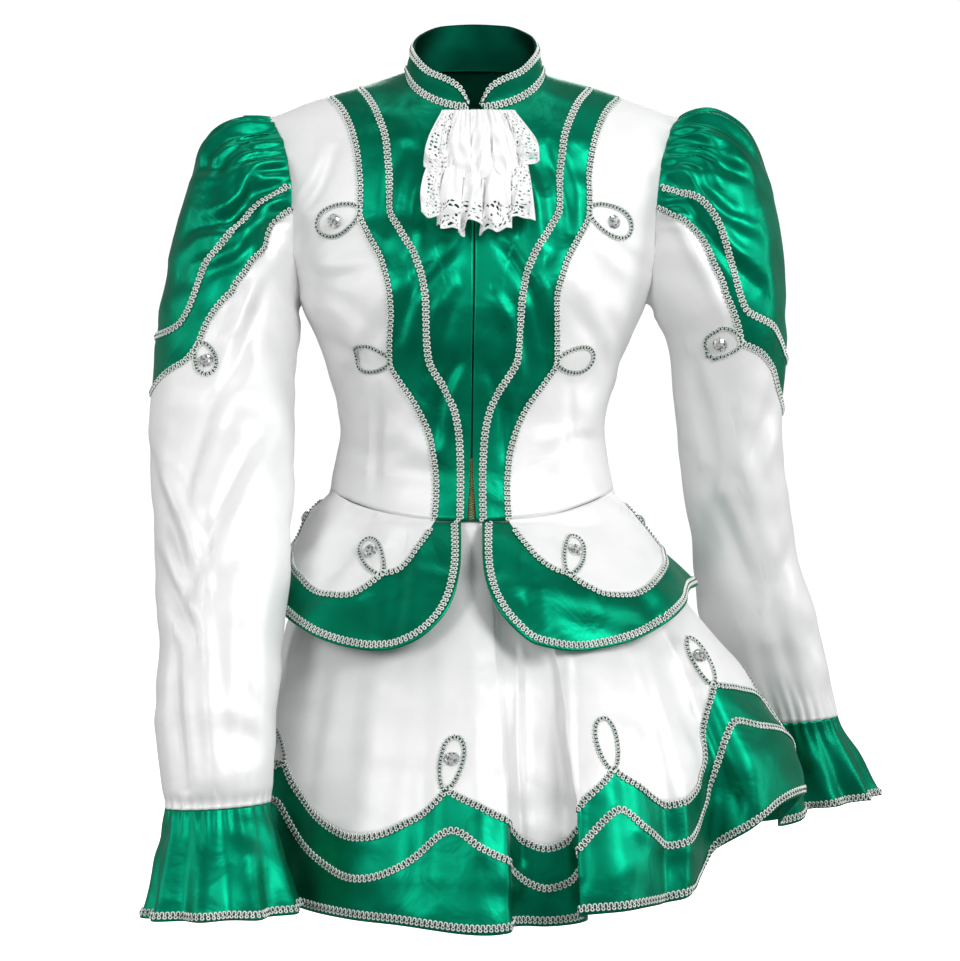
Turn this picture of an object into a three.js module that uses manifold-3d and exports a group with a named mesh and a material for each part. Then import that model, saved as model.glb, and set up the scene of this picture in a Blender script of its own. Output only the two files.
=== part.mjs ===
// Majorette dress: fitted bodice, stand collar, lace jabot, puffed sleeves, peplum and flared skirt.
// Millimetres, +Z up, the front faces -Y. The origin is in the middle of the neck; the shoulders carry it.
// "right" and "left" are the wearer's: right is -X, left is +X.
import * as THREE from "three";
import Module from "manifold-3d";

const kernel = await Module();
kernel.setup();

const SATIN = 1.5; // wall of the satin with its lining
const LACE = 1.2; // wall of the lace
const SEAM = 0.25; // each piece stops this far short of a seam line
const LIFT = 0.97; // braid and stones lie this far off the cloth
const BRAID_WIDTH = 7;
const BRAID_HEIGHT = 1.5;
const EDGE_MARGIN = 2; // cloth left free outside an edge braid
const STONE_RADIUS = 5.2;
const STONE_HEIGHT = 3.4;

const NECK_HALF_WIDTH = 60;
const NECK_SIDE_Z = 24.7;
const NECK_FRONT_DROP = 41;
const NECK_BACK_RISE = 9;
const SHOULDER_Z = 23; // height of the shoulder line beside the neck
const SHOULDER_SLOPE = 0.335;
const SHOULDER_RADIUS_FRONT = 65;
const SHOULDER_RADIUS_BACK = 55;
const SHOULDER_TIP = 181;
const WAIST_SIDE_Z = -343;
const WAIST_FRONT_DROP = 27;
const WAIST_BACK_DROP = 2;
const BUST = { x: 72, z: -165, across: 38, down: 45, rise: 12 };

// Half width and depths of the body under the bodice at each height.
const TORSO = {
  names: ["z", "width", "front", "back"],
  rows: [
    [40, 175, 50, 78],
    [0, 190, 62, 84],
    [-50, 186, 80, 90],
    [-95, 178, 92, 94],
    [-140, 166, 100, 94],
    [-185, 150, 103, 90],
    [-211, 138, 101, 85],
    [-237, 127.5, 96, 80],
    [-264, 120, 92, 76],
    [-290, 116.8, 89, 74],
    [-317, 118.8, 88, 76],
    [-345, 125, 91, 80],
    [-375, 146, 98, 96],
  ],
};

// Distance of each line from the centre of the body at each height.
const ARMHOLE = {
  names: ["z", "x"],
  rows: [
    [-15, 181],
    [-30, 172],
    [-60, 163],
    [-95, 159],
    [-130, 158],
    [-155, 156],
    [-180, 151.7],
  ],
};
const OUTER_SEAM = {
  names: ["z", "x"],
  rows: [
    [3, 126],
    [-22, 110],
    [-54, 100.5],
    [-86, 97.5],
    [-106, 98],
    [-125, 90],
    [-150, 77.5],
    [-182, 70],
    [-214, 71],
    [-234, 71],
    [-251, 61.5],
    [-272, 47],
    [-295, 36.5],
    [-320, 31],
    [-345, 29.5],
    [-370, 31],
  ],
};
const INNER_LINE = {
  names: ["z", "x"],
  rows: [
    [10, 101],
    [-16, 85.5],
    [-46, 76],
    [-87, 73.4],
    [-102, 73],
    [-122, 63],
    [-145, 50],
    [-173, 42],
    [-207, 39.5],
    [-232, 37.5],
    [-254, 25.5],
    [-275, 15],
    [-300, 10.5],
    [-334, 9.2],
    [-370, 9.6],
  ],
};
const BACK_SEAM = {
  names: ["z", "x"],
  rows: [
    [3, 126],
    [-60, 98],
    [-150, 78],
    [-250, 54],
    [-345, 40],
  ],
};
const FRONT_OPENING = {
  names: ["z", "x"],
  rows: [
    [0, 0.9],
    [-300, 0.9],
    [-340, 2],
    [-370, 4.2],
  ],
};
const CENTRE_DRIFT = {
  names: ["z", "x"],
  rows: [
    [0, 0],
    [-150, -0.6],
    [-345, -2.8],
    [-500, -2.8],
  ],
};

// Share of each row down a bodice panel, and of each column across it.
const BODICE_ROWS = [0, 0.009, 0.036, 0.08, 0.135, 0.2, 0.3, 0.4, 0.502, 0.6, 0.7, 0.8, 0.9, 1];
const FRONT_COLUMNS = [0, 0.25, 0.45, 0.55, 0.595, 0.8, 1, 1.5, 2, 2.22, 2.45, 2.72, 3];
// Row on the outer seam that each bodice loop starts from, and how far it leans down.
const BODICE_LOOPS = [
  [5.95, 0.4],
  [9.35, 0.1],
];
// The lower loop of each front and this loop of the skirt hold no stone.
const EMPTY_BODICE_LOOP = 1;
const EMPTY_SKIRT_LOOP = 4;
const INNER_COLUMN = 6;
const SEAM_COLUMN = 8;
const BACK_HALF = [0, 0.5, 0.86, 0.96, 1.44, 2, 2.25, 2.5, 2.75, 3];

// Collar: angle from the centre front, height of its top edge, half width and depth of the top edge.
const COLLAR = {
  names: ["angle", "top"],
  rows: [
    [5, -10],
    [14, 7],
    [24, 14],
    [46.5, 23],
    [66.8, 35],
    [90, 47],
    [119.4, 59],
    [150, 67],
    [180, 74],
  ],
};
const COLLAR_ANGLES = [5, 12, 25.6, 49.9, 68.8, 90, 115.4, 148.3, 180];
const COLLAR_TOP_WIDTH = 54;
const COLLAR_TOP_DEPTH = 59;
const COLLAR_CLEAR = 2.3;
const NAPE_RISE = 20.7; // the back stands this much higher at the nape than the shoulder line

const ZIP_HALF_WIDTH = 8;
const ZIP_THICKNESS = 1.2;

// Jabot tiers: heights, half widths, and how far the lower edge stands off the fronts.
const JABOT_UPPER = { top: -20, bottom: -80, topHalf: 31, bottomHalf: 54, stand: 9, x: 3, waves: 5 };
const JABOT_LOWER = { top: -72, bottom: -121, topHalf: 44, bottomHalf: 53, stand: 4, x: 3, waves: 5 };
const JABOT_SEAT = 0.6; // gap between the fronts and the gathered top of a tier
const JABOT_COLUMNS = 21;
const JABOT_ROWS = 5;

// Peplum: half width and depths at each height.
const PEPLUM_FORM = {
  names: ["z", "width", "front", "back"],
  rows: [
    [-345, 125, 91, 80],
    [-356, 136.5, 94, 86],
    [-370, 148, 97, 95],
    [-383, 158, 109, 104],
    [-396, 169, 120, 112],
    [-409, 183, 129, 120],
    [-428, 197, 142, 130],
    [-444, 205, 151, 136],
    [-477, 216, 168, 148],
  ],
};
// Peplum lines from the centre front to the centre back: scallop seam and outer edge.
const PEPLUM_LINES = {
  names: ["seamAngle", "seamZ", "edgeAngle", "edgeZ"],
  rows: [
    [12.6, -373.5, 3.4, -373],
    [14.5, -380, 3.2, -388],
    [17, -391, 3.3, -407],
    [19.5, -403, 4.6, -429],
    [22.5, -410, 8, -451],
    [26.5, -414, 14.5, -470],
    [30, -424, 23, -477],
    [35, -431, 31, -475.5],
    [42, -431, 40, -469],
    [49, -426.5, 50, -457],
    [58, -416, 61, -445],
    [74, -401, 77, -431],
    [93, -390, 93, -428],
    [107, -400, 107, -430],
    [122, -404, 122, -433],
    [137, -400, 137, -435],
    [150, -392, 150, -436],
    [165, -402, 165, -436],
    [180, -405, 180, -436],
  ],
};
// Column of each point of the scallop, and how far its loop leans across the cloth.
const PEPLUM_CUSPS = [
  [5, 0.25],
  [12, 0],
  [24, 0],
  [31, -0.45],
];
const PEPLUM_FOLD = 4;
const PEPLUM_FOLDS_PER_TURN = 7;
const PEPLUM_RIGHT_NARROWING = 0.915;

// Skirt hem round the body from the centre back, with the height of the green band above it.
const HEM = {
  names: ["angle", "x", "y", "z", "band"],
  rows: [
    [-180, 0, 232, -672, 68],
    [-165, -62, 216, -672, 107],
    [-150, -112, 214, -670, 78],
    [-136, -150, 184, -671, 62],
    [-124, -176, 160, -670, 62],
    [-112, -188, 112, -668, 80],
    [-101, -214, 86, -666, 107],
    [-91, -207, 36, -665, 86],
    [-81, -221, -4, -664, 66],
    [-72, -205, -50, -667, 64],
    [-63, -202, -90, -672, 84],
    [-53, -176, -120, -680, 107],
    [-44, -146, -150, -692, 84],
    [-33, -103, -188, -697, 67],
    [-22, -61, -212, -699, 79],
    [-11, -15, -225, -704, 115],
    [-3, 10, -228, -705, 103],
    [4, 28, -222, -704, 92],
    [6, 31, -206, -702.5, 86],
    [8, 30, -190, -703, 80],
    [10, 42, -177, -704, 70],
    [13, 60, -173, -705, 65],
    [16, 79, -176, -703, 68],
    [18, 89, -187, -699, 74],
    [19.5, 91, -202, -694, 80],
    [21.5, 87, -217, -690, 88],
    [29, 120, -218, -687, 115],
    [34, 139, -205, -685.5, 98],
    [38, 151, -186, -685.5, 86],
    [41, 158, -173, -685, 80],
    [45, 175, -168, -682, 80],
    [50, 184, -145, -677, 84],
    [54, 192, -112, -666, 94],
    [58, 205, -100, -649, 106],
    [65, 238, -112, -628, 120],
    [72, 266, -78, -611, 98],
    [79, 287, -38, -608, 88],
    [84, 286, -6, -615, 74],
    [89, 270, 16, -636, 66],
    [94, 273, 38, -643, 66],
    [100, 292, 54, -640, 82],
    [107, 296, 82, -636, 107],
    [114, 274, 106, -644, 88],
    [122, 250, 118, -648, 70],
    [130, 238, 148, -652, 64],
    [140, 196, 170, -658, 80],
    [150, 150, 196, -664, 107],
    [160, 106, 208, -668, 84],
    [170, 54, 226, -670, 66],
  ],
};
// Column of each point of the band, and how far its loop leans across the cloth.
const SKIRT_CUSPS = [
  [1, 0],
  [6, 0],
  [11, 0],
  [15, 0.25],
  [26, -0.05],
  [34, 0],
  [41, 0],
  [46, 0],
];
const SKIRT_RIGHT = 216;
const SKIRT_LEFT = 300;
const SKIRT_FRONT = 222;
const SKIRT_BACK = 225;
const SKIRT_FOLD_POWER = 1.25;
const SKIRT_INSIDE = 3.2; // the skirt hangs this far inside the peplum
const SKIRT_BELOW = 1.5;
const BAND_LINE = 33; // the braid inside the band lies this far below its top
// Share of the flare reached at each distance down from the waist.
const FLARE = {
  names: ["down", "front", "left", "right"],
  rows: [
    [0, 0, 0, 0],
    [35, 0.06, 0.09, 0.08],
    [60, 0.18, 0.21, 0.19],
    [85, 0.3, 0.33, 0.29],
    [115, 0.42, 0.47, 0.41],
    [148, 0.55, 0.63, 0.52],
    [177, 0.65, 0.74, 0.62],
    [225, 0.79, 0.92, 0.78],
    [271, 0.89, 0.98, 0.89],
    [355, 1, 1, 1],
  ],
};
const SKIRT_BODY_ROWS = [0, 0.13, 0.27, 0.42, 0.58, 0.78, 1];
const SKIRT_BAND_ROWS = 2; // rows below the inner band braid

// Sleeves: outer and inner silhouette points, shift towards the back and half depth of each ring.
const SLEEVE_RIGHT = {
  names: ["outerX", "outerZ", "innerX", "innerZ", "y", "depth"],
  rows: [
    [205, -11, 155, -186, 0, 55],
    [232, -26, 154, -192, -2, 60],
    [246, -53, 153, -197, -5, 64],
    [259, -105, 153, -203, -9, 66],
    [271, -158, 153, -211, -15, 66],
    [278, -213, 155, -225, -24, 65],
    [281, -262, 156, -263, -42, 64],
    [280, -318, 155, -316, -66, 62],
    [272, -394, 156, -392, -97, 60],
    [267, -470, 161, -468, -122, 56],
    [267, -540, 165, -538, -144, 52],
    [261, -590, 168, -586, -158, 46],
    [257, -607, 171, -602, -163, 40],
    [264, -650, 158, -646, -176, 47],
    [271, -694, 146, -689, -190, 55],
  ],
};
const SLEEVE_LEFT = {
  names: ["outerX", "outerZ", "innerX", "innerZ", "y", "depth"],
  rows: [
    [204, -7, 156, -184, 0, 54],
    [235, -23, 157, -188, 2, 59],
    [252, -50, 158, -191, 4, 62],
    [267, -100, 160, -194, 6, 63],
    [274, -150, 163, -199, 8, 63],
    [276, -196, 168, -208, 13, 61],
    [275, -240, 174, -240, 24, 58],
    [273, -290, 179, -288, 40, 56],
    [281, -345, 187, -341, 62, 54],
    [294, -412, 198, -404, 92, 52],
    [312, -463, 204, -452, 114, 50],
    [326, -515, 226, -500, 138, 47],
    [334, -552, 250, -560, 153, 41],
    [353, -589, 252, -600, 165, 48],
    [374, -628, 262, -642, 178, 54],
  ],
};
const WRIST_RING = 13; // ring 0 is the armhole itself
const SLEEVE_COLUMNS = 28;
const ARMHOLE_GAP = 0.7; // each sleeve starts this far outside the armhole line
const CAP_HALF = 9; // columns on each side of the top of the sleeve that carry the green cap
const CAP_ROWS = 6;
// The green cap of a sleeve: the side edge is an angle from the top of the sleeve at each ring, the lower
// edge a ring at each column, the point a column, and the line of the inner braid an angle at each ring.
const CAP_RIGHT = {
  side: { names: ["ring", "angle"], rows: [[0, 90], [1, 97], [2, 107], [3.7, 99], [4.6, 92], [6, 92]] },
  edge: [6.95, 6.93, 6.86, 6.74, 6.62, 6.5, 6.35, 6.0, 5.2, 4.6],
  point: 7,
  line: [
    [76, 0.2], [84, 1.2], [86, 2.3], [81, 3.2], [73, 3.9], [64, 4.6], [60, 5.2], [50, 5.7],
    [34, 5.86], [17, 5.92], [0, 5.94],
  ],
  loop: [0.5, 1, 23],
};
const CAP_LEFT = {
  side: { names: ["ring", "angle"], rows: [[0, 90], [1, 96], [1.9, 99], [3.65, 97], [4.9, 92], [6, 92]] },
  edge: [7.7, 7.66, 7.54, 7.3, 7.0, 6.8, 6.62, 6.5, 6.4, 4.9],
  point: 8,
  line: [
    [78, 0.2], [83, 1.4], [84, 2.6], [83, 3.8], [80, 5], [75, 5.6], [66, 5.8], [48, 6.05],
    [32, 6.35], [17, 6.65], [0, 6.8],
  ],
  loop: [1, -0.1, 33],
};
const LINE_STEPS = 3; // stations of the inner cap braid between two points of its table
const SLEEVE_ROWS = [0, 0.17, 0.34, 0.5, 0.66, 0.83, 1];
const CUFF_ROWS = 3;
const CAP_GATHER = 2.6;
const CAP_GATHERS = 9;
const CUFF_WAVE = 6;
const CUFF_WAVES = 9;

const LOOP_LENGTH = 40;
const LOOP_WIDTH = 21;
const BODICE_LOOP_LENGTH = 39;
const BODICE_LOOP_WIDTH = 27;
const SMALL_LOOP_LENGTH = 32;
const SMALL_LOOP_WIDTH = 22;
const LOOP_BRAID = 4;
const LOOP_STEPS = 10;

const GREEN_SATIN = { color: 0x00754a, roughness: 0.36, metalness: 0 };
const WHITE_SATIN = { color: 0xeeeff1, roughness: 0.4, metalness: 0 };
const GIMP_BRAID = { color: 0xdde6dc, roughness: 0.6, metalness: 0 };
const WHITE_LACE = { color: 0xf2f2f2, roughness: 0.9, metalness: 0 };
const FACETED_STONE = { color: 0x5c6b6b, roughness: 0.08, metalness: 0.3 };
const ZIP_TAPE = { color: 0x0a5a3c, roughness: 0.7, metalness: 0.2 };

const lerp = (a, b, t) => a + (b - a) * t;
const clamp = (v, low, high) => Math.min(high, Math.max(low, v));
const rad = (degrees) => (degrees * Math.PI) / 180;
const column = (tbl, name) => tbl.rows.map((row) => row[tbl.names.indexOf(name)]);

// A smooth curve through one column of a table against another, with no overshoot.
function curve(tbl, key, name) {
  const rows = [...tbl.rows].sort((p, q) => p[tbl.names.indexOf(key)] - q[tbl.names.indexOf(key)]);
  const x = rows.map((row) => row[tbl.names.indexOf(key)]);
  const y = rows.map((row) => row[tbl.names.indexOf(name)]);
  const slope = x.slice(1).map((v, i) => (y[i + 1] - y[i]) / (v - x[i]));
  const tangent = x.map((_, i) => {
    if (i === 0) return slope[0];
    if (i === x.length - 1) return slope[i - 1];
    if (slope[i - 1] * slope[i] <= 0) return 0;
    return (2 * slope[i - 1] * slope[i]) / (slope[i - 1] + slope[i]);
  });
  return (at) => {
    const v = clamp(at, x[0], x[x.length - 1]);
    let k = 0;
    while (k < x.length - 2 && v > x[k + 1]) k += 1;
    const h = x[k + 1] - x[k];
    const t = (v - x[k]) / h;
    const a = y[k] * (1 + 2 * t) * (1 - t) ** 2 + y[k + 1] * t * t * (3 - 2 * t);
    return a + h * (tangent[k] * t * (1 - t) ** 2 - tangent[k + 1] * t * t * (1 - t));
  };
}

const torsoWidth = curve(TORSO, "z", "width");
const torsoFront = curve(TORSO, "z", "front");
const torsoBack = curve(TORSO, "z", "back");
const armhole = curve(ARMHOLE, "z", "x");
const outerSeam = curve(OUTER_SEAM, "z", "x");
const innerLine = curve(INNER_LINE, "z", "x");
const backSeam = curve(BACK_SEAM, "z", "x");
const frontOpening = curve(FRONT_OPENING, "z", "x");
const drift = curve(CENTRE_DRIFT, "z", "x");
const collarTop = curve(COLLAR, "angle", "top");
const peplumWidth = curve(PEPLUM_FORM, "z", "width");
const peplumFront = curve(PEPLUM_FORM, "z", "front");
const peplumBack = curve(PEPLUM_FORM, "z", "back");
const flareFront = curve(FLARE, "down", "front");
const flareLeft = curve(FLARE, "down", "left");
const flareRight = curve(FLARE, "down", "right");

// A sheet of cloth: a grid of points over a form, with a normal at each point. Pieces are cut from its cells.
class Sheet {
  constructor(columns, rows, at, closed = false, facing = 1) {
    this.columns = columns;
    this.rows = rows;
    this.closed = closed;
    this.points = [];
    for (let i = 0; i < columns; i += 1) {
      this.points.push([]);
      for (let j = 0; j < rows; j += 1) this.points[i].push(at(i, j));
    }
    this.normals = this.points.map((line, i) => line.map((_, j) => this.slope(i, j).multiplyScalar(facing)));
  }

  wrap(i) {
    if (this.closed) return ((i % this.columns) + this.columns) % this.columns;
    return clamp(i, 0, this.columns - 1);
  }

  slope(i, j) {
    const across = this.points[this.wrap(i + 1)][j].clone().sub(this.points[this.wrap(i - 1)][j]);
    const up = this.points[i][Math.max(j - 1, 0)];
    const down = this.points[i][Math.min(j + 1, this.rows - 1)].clone().sub(up);
    return down.cross(across).normalize();
  }

  // Whether a cell is cut from its first corner to the opposite one, or the other way.
  cutsForward(i, j) {
    const a = this.points[this.wrap(i)][j];
    const b = this.points[this.wrap(i)][j + 1];
    const c = this.points[this.wrap(i + 1)][j + 1];
    const d = this.points[this.wrap(i + 1)][j];
    return a.distanceTo(c) < b.distanceTo(d);
  }

  // Shares of a cell's four corners at (u, v), on the two flat triangles that the cell is cut into.
  shares(i, j, u, v) {
    if (this.cutsForward(i, j)) {
      return v >= u ? [1 - v, v - u, u, 0] : [1 - u, 0, v, u - v];
    }
    return u + v >= 1 ? [0, 1 - u, u + v - 1, 1 - v] : [1 - u - v, v, 0, u];
  }

  // Point and normal between grid lines.
  read(i, j) {
    const limit = this.closed ? i : clamp(i, 0, this.columns - 1.000001);
    const i0 = Math.floor(limit);
    const j0 = clamp(Math.floor(j), 0, this.rows - 2);
    const u = limit - i0;
    const v = j - j0;
    const [wa, wb, wc, wd] = this.shares(i0, j0, u, v);
    const mix = (grid) =>
      new THREE.Vector3()
        .addScaledVector(grid[this.wrap(i0)][j0], wa)
        .addScaledVector(grid[this.wrap(i0)][j0 + 1], wb)
        .addScaledVector(grid[this.wrap(i0 + 1)][j0 + 1], wc)
        .addScaledVector(grid[this.wrap(i0 + 1)][j0], wd);
    return { point: mix(this.points), normal: mix(this.normals).normalize() };
  }

  // Grid position reached from (i, j) after some millimetres across and down the cloth.
  walk(i, j, across, down) {
    const steps = 6;
    let u = i;
    let v = j;
    for (let k = 0; k < steps; k += 1) {
      const here = this.read(u, v).point;
      const di = here.distanceTo(this.read(u + 0.05 * Math.sign(across || 1), v).point) / 0.05;
      const dj = here.distanceTo(this.read(u, v + 0.05 * Math.sign(down || 1)).point) / 0.05;
      u += across / steps / Math.max(di, 1e-6);
      v += down / steps / Math.max(dj, 1e-6);
    }
    return [u, v];
  }

  // Directions along the column and square to it at a grid position, in the plane of the cloth.
  frame(i, j) {
    const small = 0.05;
    const y = this.read(i, j + small).point.sub(this.read(i, j).point).normalize();
    const x = this.read(i + small, j).point.sub(this.read(i, j).point);
    x.addScaledVector(y, -x.dot(y)).normalize();
    return { x, y };
  }

  // Grid position reached from (i, j) by a move in space that keeps to the cloth.
  reach(i, j, move) {
    const small = 0.02;
    const steps = 24;
    const goal = move.clone().divideScalar(steps);
    let u = i;
    let v = j;
    for (let k = 0; k < steps; k += 1) {
      const here = this.read(u, v).point;
      const a = this.read(u + small, v).point.sub(here).divideScalar(small);
      const b = this.read(u, v + small).point.sub(here).divideScalar(small);
      const [aa, ab, bb] = [a.dot(a), a.dot(b), b.dot(b)];
      const [ga, gb] = [goal.dot(a), goal.dot(b)];
      const scale = aa * bb - ab * ab;
      u += (ga * bb - gb * ab) / scale;
      v += (gb * aa - ga * ab) / scale;
    }
    return [u, v];
  }

  // A closed wall over the cells that belong to a piece.
  piece(name, wall, belongs) {
    const cellColumns = this.closed ? this.columns : this.columns - 1;
    const has = (i, j) => {
      if (j < 0 || j >= this.rows - 1) return false;
      if (!this.closed && (i < 0 || i >= cellColumns)) return false;
      return belongs(this.wrap(i), j);
    };
    const vertices = [];
    const ids = new Map();
    const vertex = (i, j) => {
      const key = this.wrap(i) * this.rows + j;
      if (!ids.has(key)) {
        const point = this.points[this.wrap(i)][j].clone();
        const normal = this.normals[this.wrap(i)][j];
        const before = (has(i - 1, j - 1) ? 1 : 0) + (has(i - 1, j) ? 1 : 0);
        const after = (has(i, j - 1) ? 1 : 0) + (has(i, j) ? 1 : 0);
        const above = (has(i - 1, j - 1) ? 1 : 0) + (has(i, j - 1) ? 1 : 0);
        const below = (has(i - 1, j) ? 1 : 0) + (has(i, j) ? 1 : 0);
        if (before + after < 4) {
          const across = this.points[this.wrap(i + Math.sign(after - before))][j].clone().sub(point);
          const down = this.points[this.wrap(i)][j + Math.sign(below - above)].clone().sub(point);
          point.add(across.setLength(after === before ? 0 : SEAM));
          point.add(down.setLength(below === above ? 0 : SEAM));
        }
        ids.set(key, vertices.length / 2);
        vertices.push(point, point.clone().addScaledVector(normal, -wall));
      }
      return ids.get(key) * 2;
    };
    const faces = [];
    const quad = (a, b, c, d) => faces.push([a, b, c], [a, c, d]);
    for (let i = 0; i < cellColumns; i += 1) {
      for (let j = 0; j < this.rows - 1; j += 1) {
        if (!has(i, j)) continue;
        const a = vertex(i, j);
        const b = vertex(i, j + 1);
        const c = vertex(i + 1, j + 1);
        const d = vertex(i + 1, j);
        const turn = this.cutsForward(i, j) ? [a, b, c, d] : [b, c, d, a];
        quad(...turn);
        quad(...turn.map((v) => v + 1).reverse());
        if (!has(i - 1, j)) quad(a + 1, b + 1, b, a);
        if (!has(i, j + 1)) quad(b + 1, c + 1, c, b);
        if (!has(i + 1, j)) quad(d + 1, d, c, c + 1);
        if (!has(i, j - 1)) quad(a + 1, a, d, d + 1);
      }
    }
    return meshOf(name, vertices, faces);
  }
}

// A mesh from points and faces, turned so that its faces point out.
function meshOf(name, vertices, faces) {
  let volume = 0;
  for (const [a, b, c] of faces) {
    volume += vertices[a].dot(vertices[b].clone().cross(vertices[c]));
  }
  const index = faces.flatMap(([a, b, c]) => (volume < 0 ? [a, c, b] : [a, b, c]));
  const geometry = new THREE.BufferGeometry();
  geometry.setAttribute(
    "position",
    new THREE.Float32BufferAttribute(vertices.flatMap((v) => [v.x, v.y, v.z]), 3),
  );
  geometry.setIndex(index);
  const mesh = new THREE.Mesh(geometry);
  mesh.name = name;
  return mesh;
}

const solidOf = (mesh) =>
  new kernel.Manifold(
    new kernel.Mesh({
      numProp: 3,
      vertProperties: new Float32Array(mesh.geometry.getAttribute("position").array),
      triVerts: new Uint32Array(mesh.geometry.index.array),
    }),
  );

// Several braids that cross, joined into one piece.
function joined(name, meshes) {
  const solid = kernel.Manifold.union(meshes.map(solidOf));
  const out = solid.getMesh();
  const geometry = new THREE.BufferGeometry();
  geometry.setAttribute("position", new THREE.BufferAttribute(new Float32Array(out.vertProperties), 3));
  geometry.setIndex(new THREE.BufferAttribute(out.triVerts, 1));
  const mesh = new THREE.Mesh(geometry);
  mesh.name = name;
  return mesh;
}

// A braid of three-cornered section; each station has its two edges and the ridge between them.
function braid(name, stations, closed = false) {
  const vertices = stations.flatMap(([one, ridge, other]) => [one, ridge, other]);
  const faces = [];
  const count = stations.length;
  for (let k = 0; k < (closed ? count : count - 1); k += 1) {
    const p = k * 3;
    const q = ((k + 1) % count) * 3;
    for (let c = 0; c < 3; c += 1) {
      const d = (c + 1) % 3;
      faces.push([p + c, q + c, q + d], [p + c, q + d, p + d]);
    }
  }
  if (!closed) {
    const last = (count - 1) * 3;
    faces.push([0, 1, 2], [last, last + 2, last + 1]);
  }
  return meshOf(name, vertices, faces);
}

const raised = ({ point, normal }, by) => point.clone().addScaledVector(normal, by);

// One station of a braid from the grid positions of its two edges and its middle.
function station(sheet, one, centre, other) {
  return [
    raised(sheet.read(...one), LIFT),
    raised(sheet.read(...centre), LIFT + BRAID_HEIGHT),
    raised(sheet.read(...other), LIFT),
  ];
}

// A braid that runs across the cloth along a row, from one column to another.
function braidAlongRow(name, sheet, rowAt, from, to, above, below) {
  const stations = [];
  const closed = sheet.closed && to - from === sheet.columns;
  for (let i = from; i < (closed ? to : to + 1); i += 1) {
    const row = rowAt(i);
    const one = [i, sheet.walk(i, row, 0, -above)[1]];
    const other = [i, sheet.walk(i, row, 0, below)[1]];
    const centre = [i, (one[1] + other[1]) / 2];
    stations.push(station(sheet, one, centre, other));
  }
  return braid(name, stations, closed);
}

// A braid that runs down the cloth along a column.
function braidAlongColumn(name, sheet, column, from, to, before, after) {
  const stations = [];
  for (let j = from; j <= to; j += 1) {
    const one = [sheet.walk(column, j, -before, 0)[0], j];
    const other = [sheet.walk(column, j, after, 0)[0], j];
    stations.push(station(sheet, one, [(one[0] + other[0]) / 2, j], other));
  }
  return braid(name, stations);
}

// A braid along any line of grid positions.
function braidAlongPath(name, sheet, path) {
  const stations = path.map(([i, j], k) => {
    const before = sheet.read(...path[Math.max(k - 1, 0)]).point;
    const after = sheet.read(...path[Math.min(k + 1, path.length - 1)]).point;
    const side = after.sub(before).cross(sheet.read(i, j).normal).setLength(BRAID_WIDTH / 2);
    const one = sheet.reach(i, j, side);
    return station(sheet, one, [i, j], sheet.reach(i, j, side.clone().negate()));
  });
  return braid(name, stations);
}

// A teardrop loop of braid that grows out of a line at (i, j), along a direction (across, down).
function loop(sheet, i, j, across, down, length, width) {
  const size = Math.hypot(across, down);
  const along = [across / size, down / size];
  const { x, y } = sheet.frame(i, j);
  const place = (forward, side) => {
    const move = x.clone().multiplyScalar(along[0] * forward - along[1] * side);
    return sheet.reach(i, j, move.addScaledVector(y, along[1] * forward + along[0] * side));
  };
  const ring = (grow, angle) => {
    const swell = 0.82 - 0.18 * Math.cos(angle);
    const forward = length / 2 - (length / 2 + grow) * Math.cos(angle);
    return place(forward, (width / 2 + grow) * swell * Math.sin(angle));
  };
  const stations = [];
  for (let k = 0; k < LOOP_STEPS; k += 1) {
    const angle = ((k + 0.5) / LOOP_STEPS) * 2 * Math.PI;
    stations.push(
      station(sheet, ring(-LOOP_BRAID / 2, angle), ring(0, angle), ring(LOOP_BRAID / 2, angle)),
    );
  }
  return { mesh: braid("loop", stations, true), centre: place(length * 0.58, 0) };
}

// A faceted stone set on the cloth at a grid position.
function stone(name, sheet, at) {
  const profile = [
    new THREE.Vector2(0, 0),
    new THREE.Vector2(STONE_RADIUS, 0),
    new THREE.Vector2(STONE_RADIUS * 0.96, STONE_HEIGHT * 0.35),
    new THREE.Vector2(STONE_RADIUS * 0.55, STONE_HEIGHT),
    new THREE.Vector2(0, STONE_HEIGHT),
  ];
  const geometry = new THREE.LatheGeometry(profile, 6);
  const { point, normal } = sheet.read(...at);
  const turn = new THREE.Quaternion().setFromUnitVectors(new THREE.Vector3(0, 1, 0), normal);
  geometry.applyQuaternion(turn);
  geometry.translate(...point.clone().addScaledVector(normal, LIFT).toArray());
  const mesh = new THREE.Mesh(geometry);
  mesh.name = name;
  return mesh;
}

// Bodice ------------------------------------------------------------------------------------------------

function shoulderLine(x, back) {
  if (!back || x >= NECK_HALF_WIDTH) return SHOULDER_Z - SHOULDER_SLOPE * (x - 66);
  return NECK_SIDE_Z + 0.3 + NAPE_RISE * (1 - (x / NECK_HALF_WIDTH) ** 2) ** 0.65;
}

function waistLine(x, z, back) {
  const share = 1 - (x / torsoWidth(z)) ** 2;
  return WAIST_SIDE_Z - (back ? WAIST_BACK_DROP : WAIST_FRONT_DROP) * clamp(share, 0, 1);
}

// Depth of the body at (x, z): negative on the front, positive on the back.
function torsoDepth(x, z, back) {
  const round = Math.sqrt(Math.max(0, 1 - (x / torsoWidth(z)) ** 2));
  const radius = back ? SHOULDER_RADIUS_BACK : SHOULDER_RADIUS_FRONT;
  const fall = clamp((shoulderLine(x, back) - z) / radius, 0, 1);
  const shoulder = Math.sqrt(1 - (1 - fall) ** 2);
  if (back) return torsoBack(z) * round * shoulder;
  const across = Math.exp(-(((x - BUST.x) / BUST.across) ** 2));
  const down = Math.exp(-(((z - BUST.z) / BUST.down) ** 2));
  return -(torsoFront(z) * round * shoulder + BUST.rise * across * down * round);
}

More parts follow.
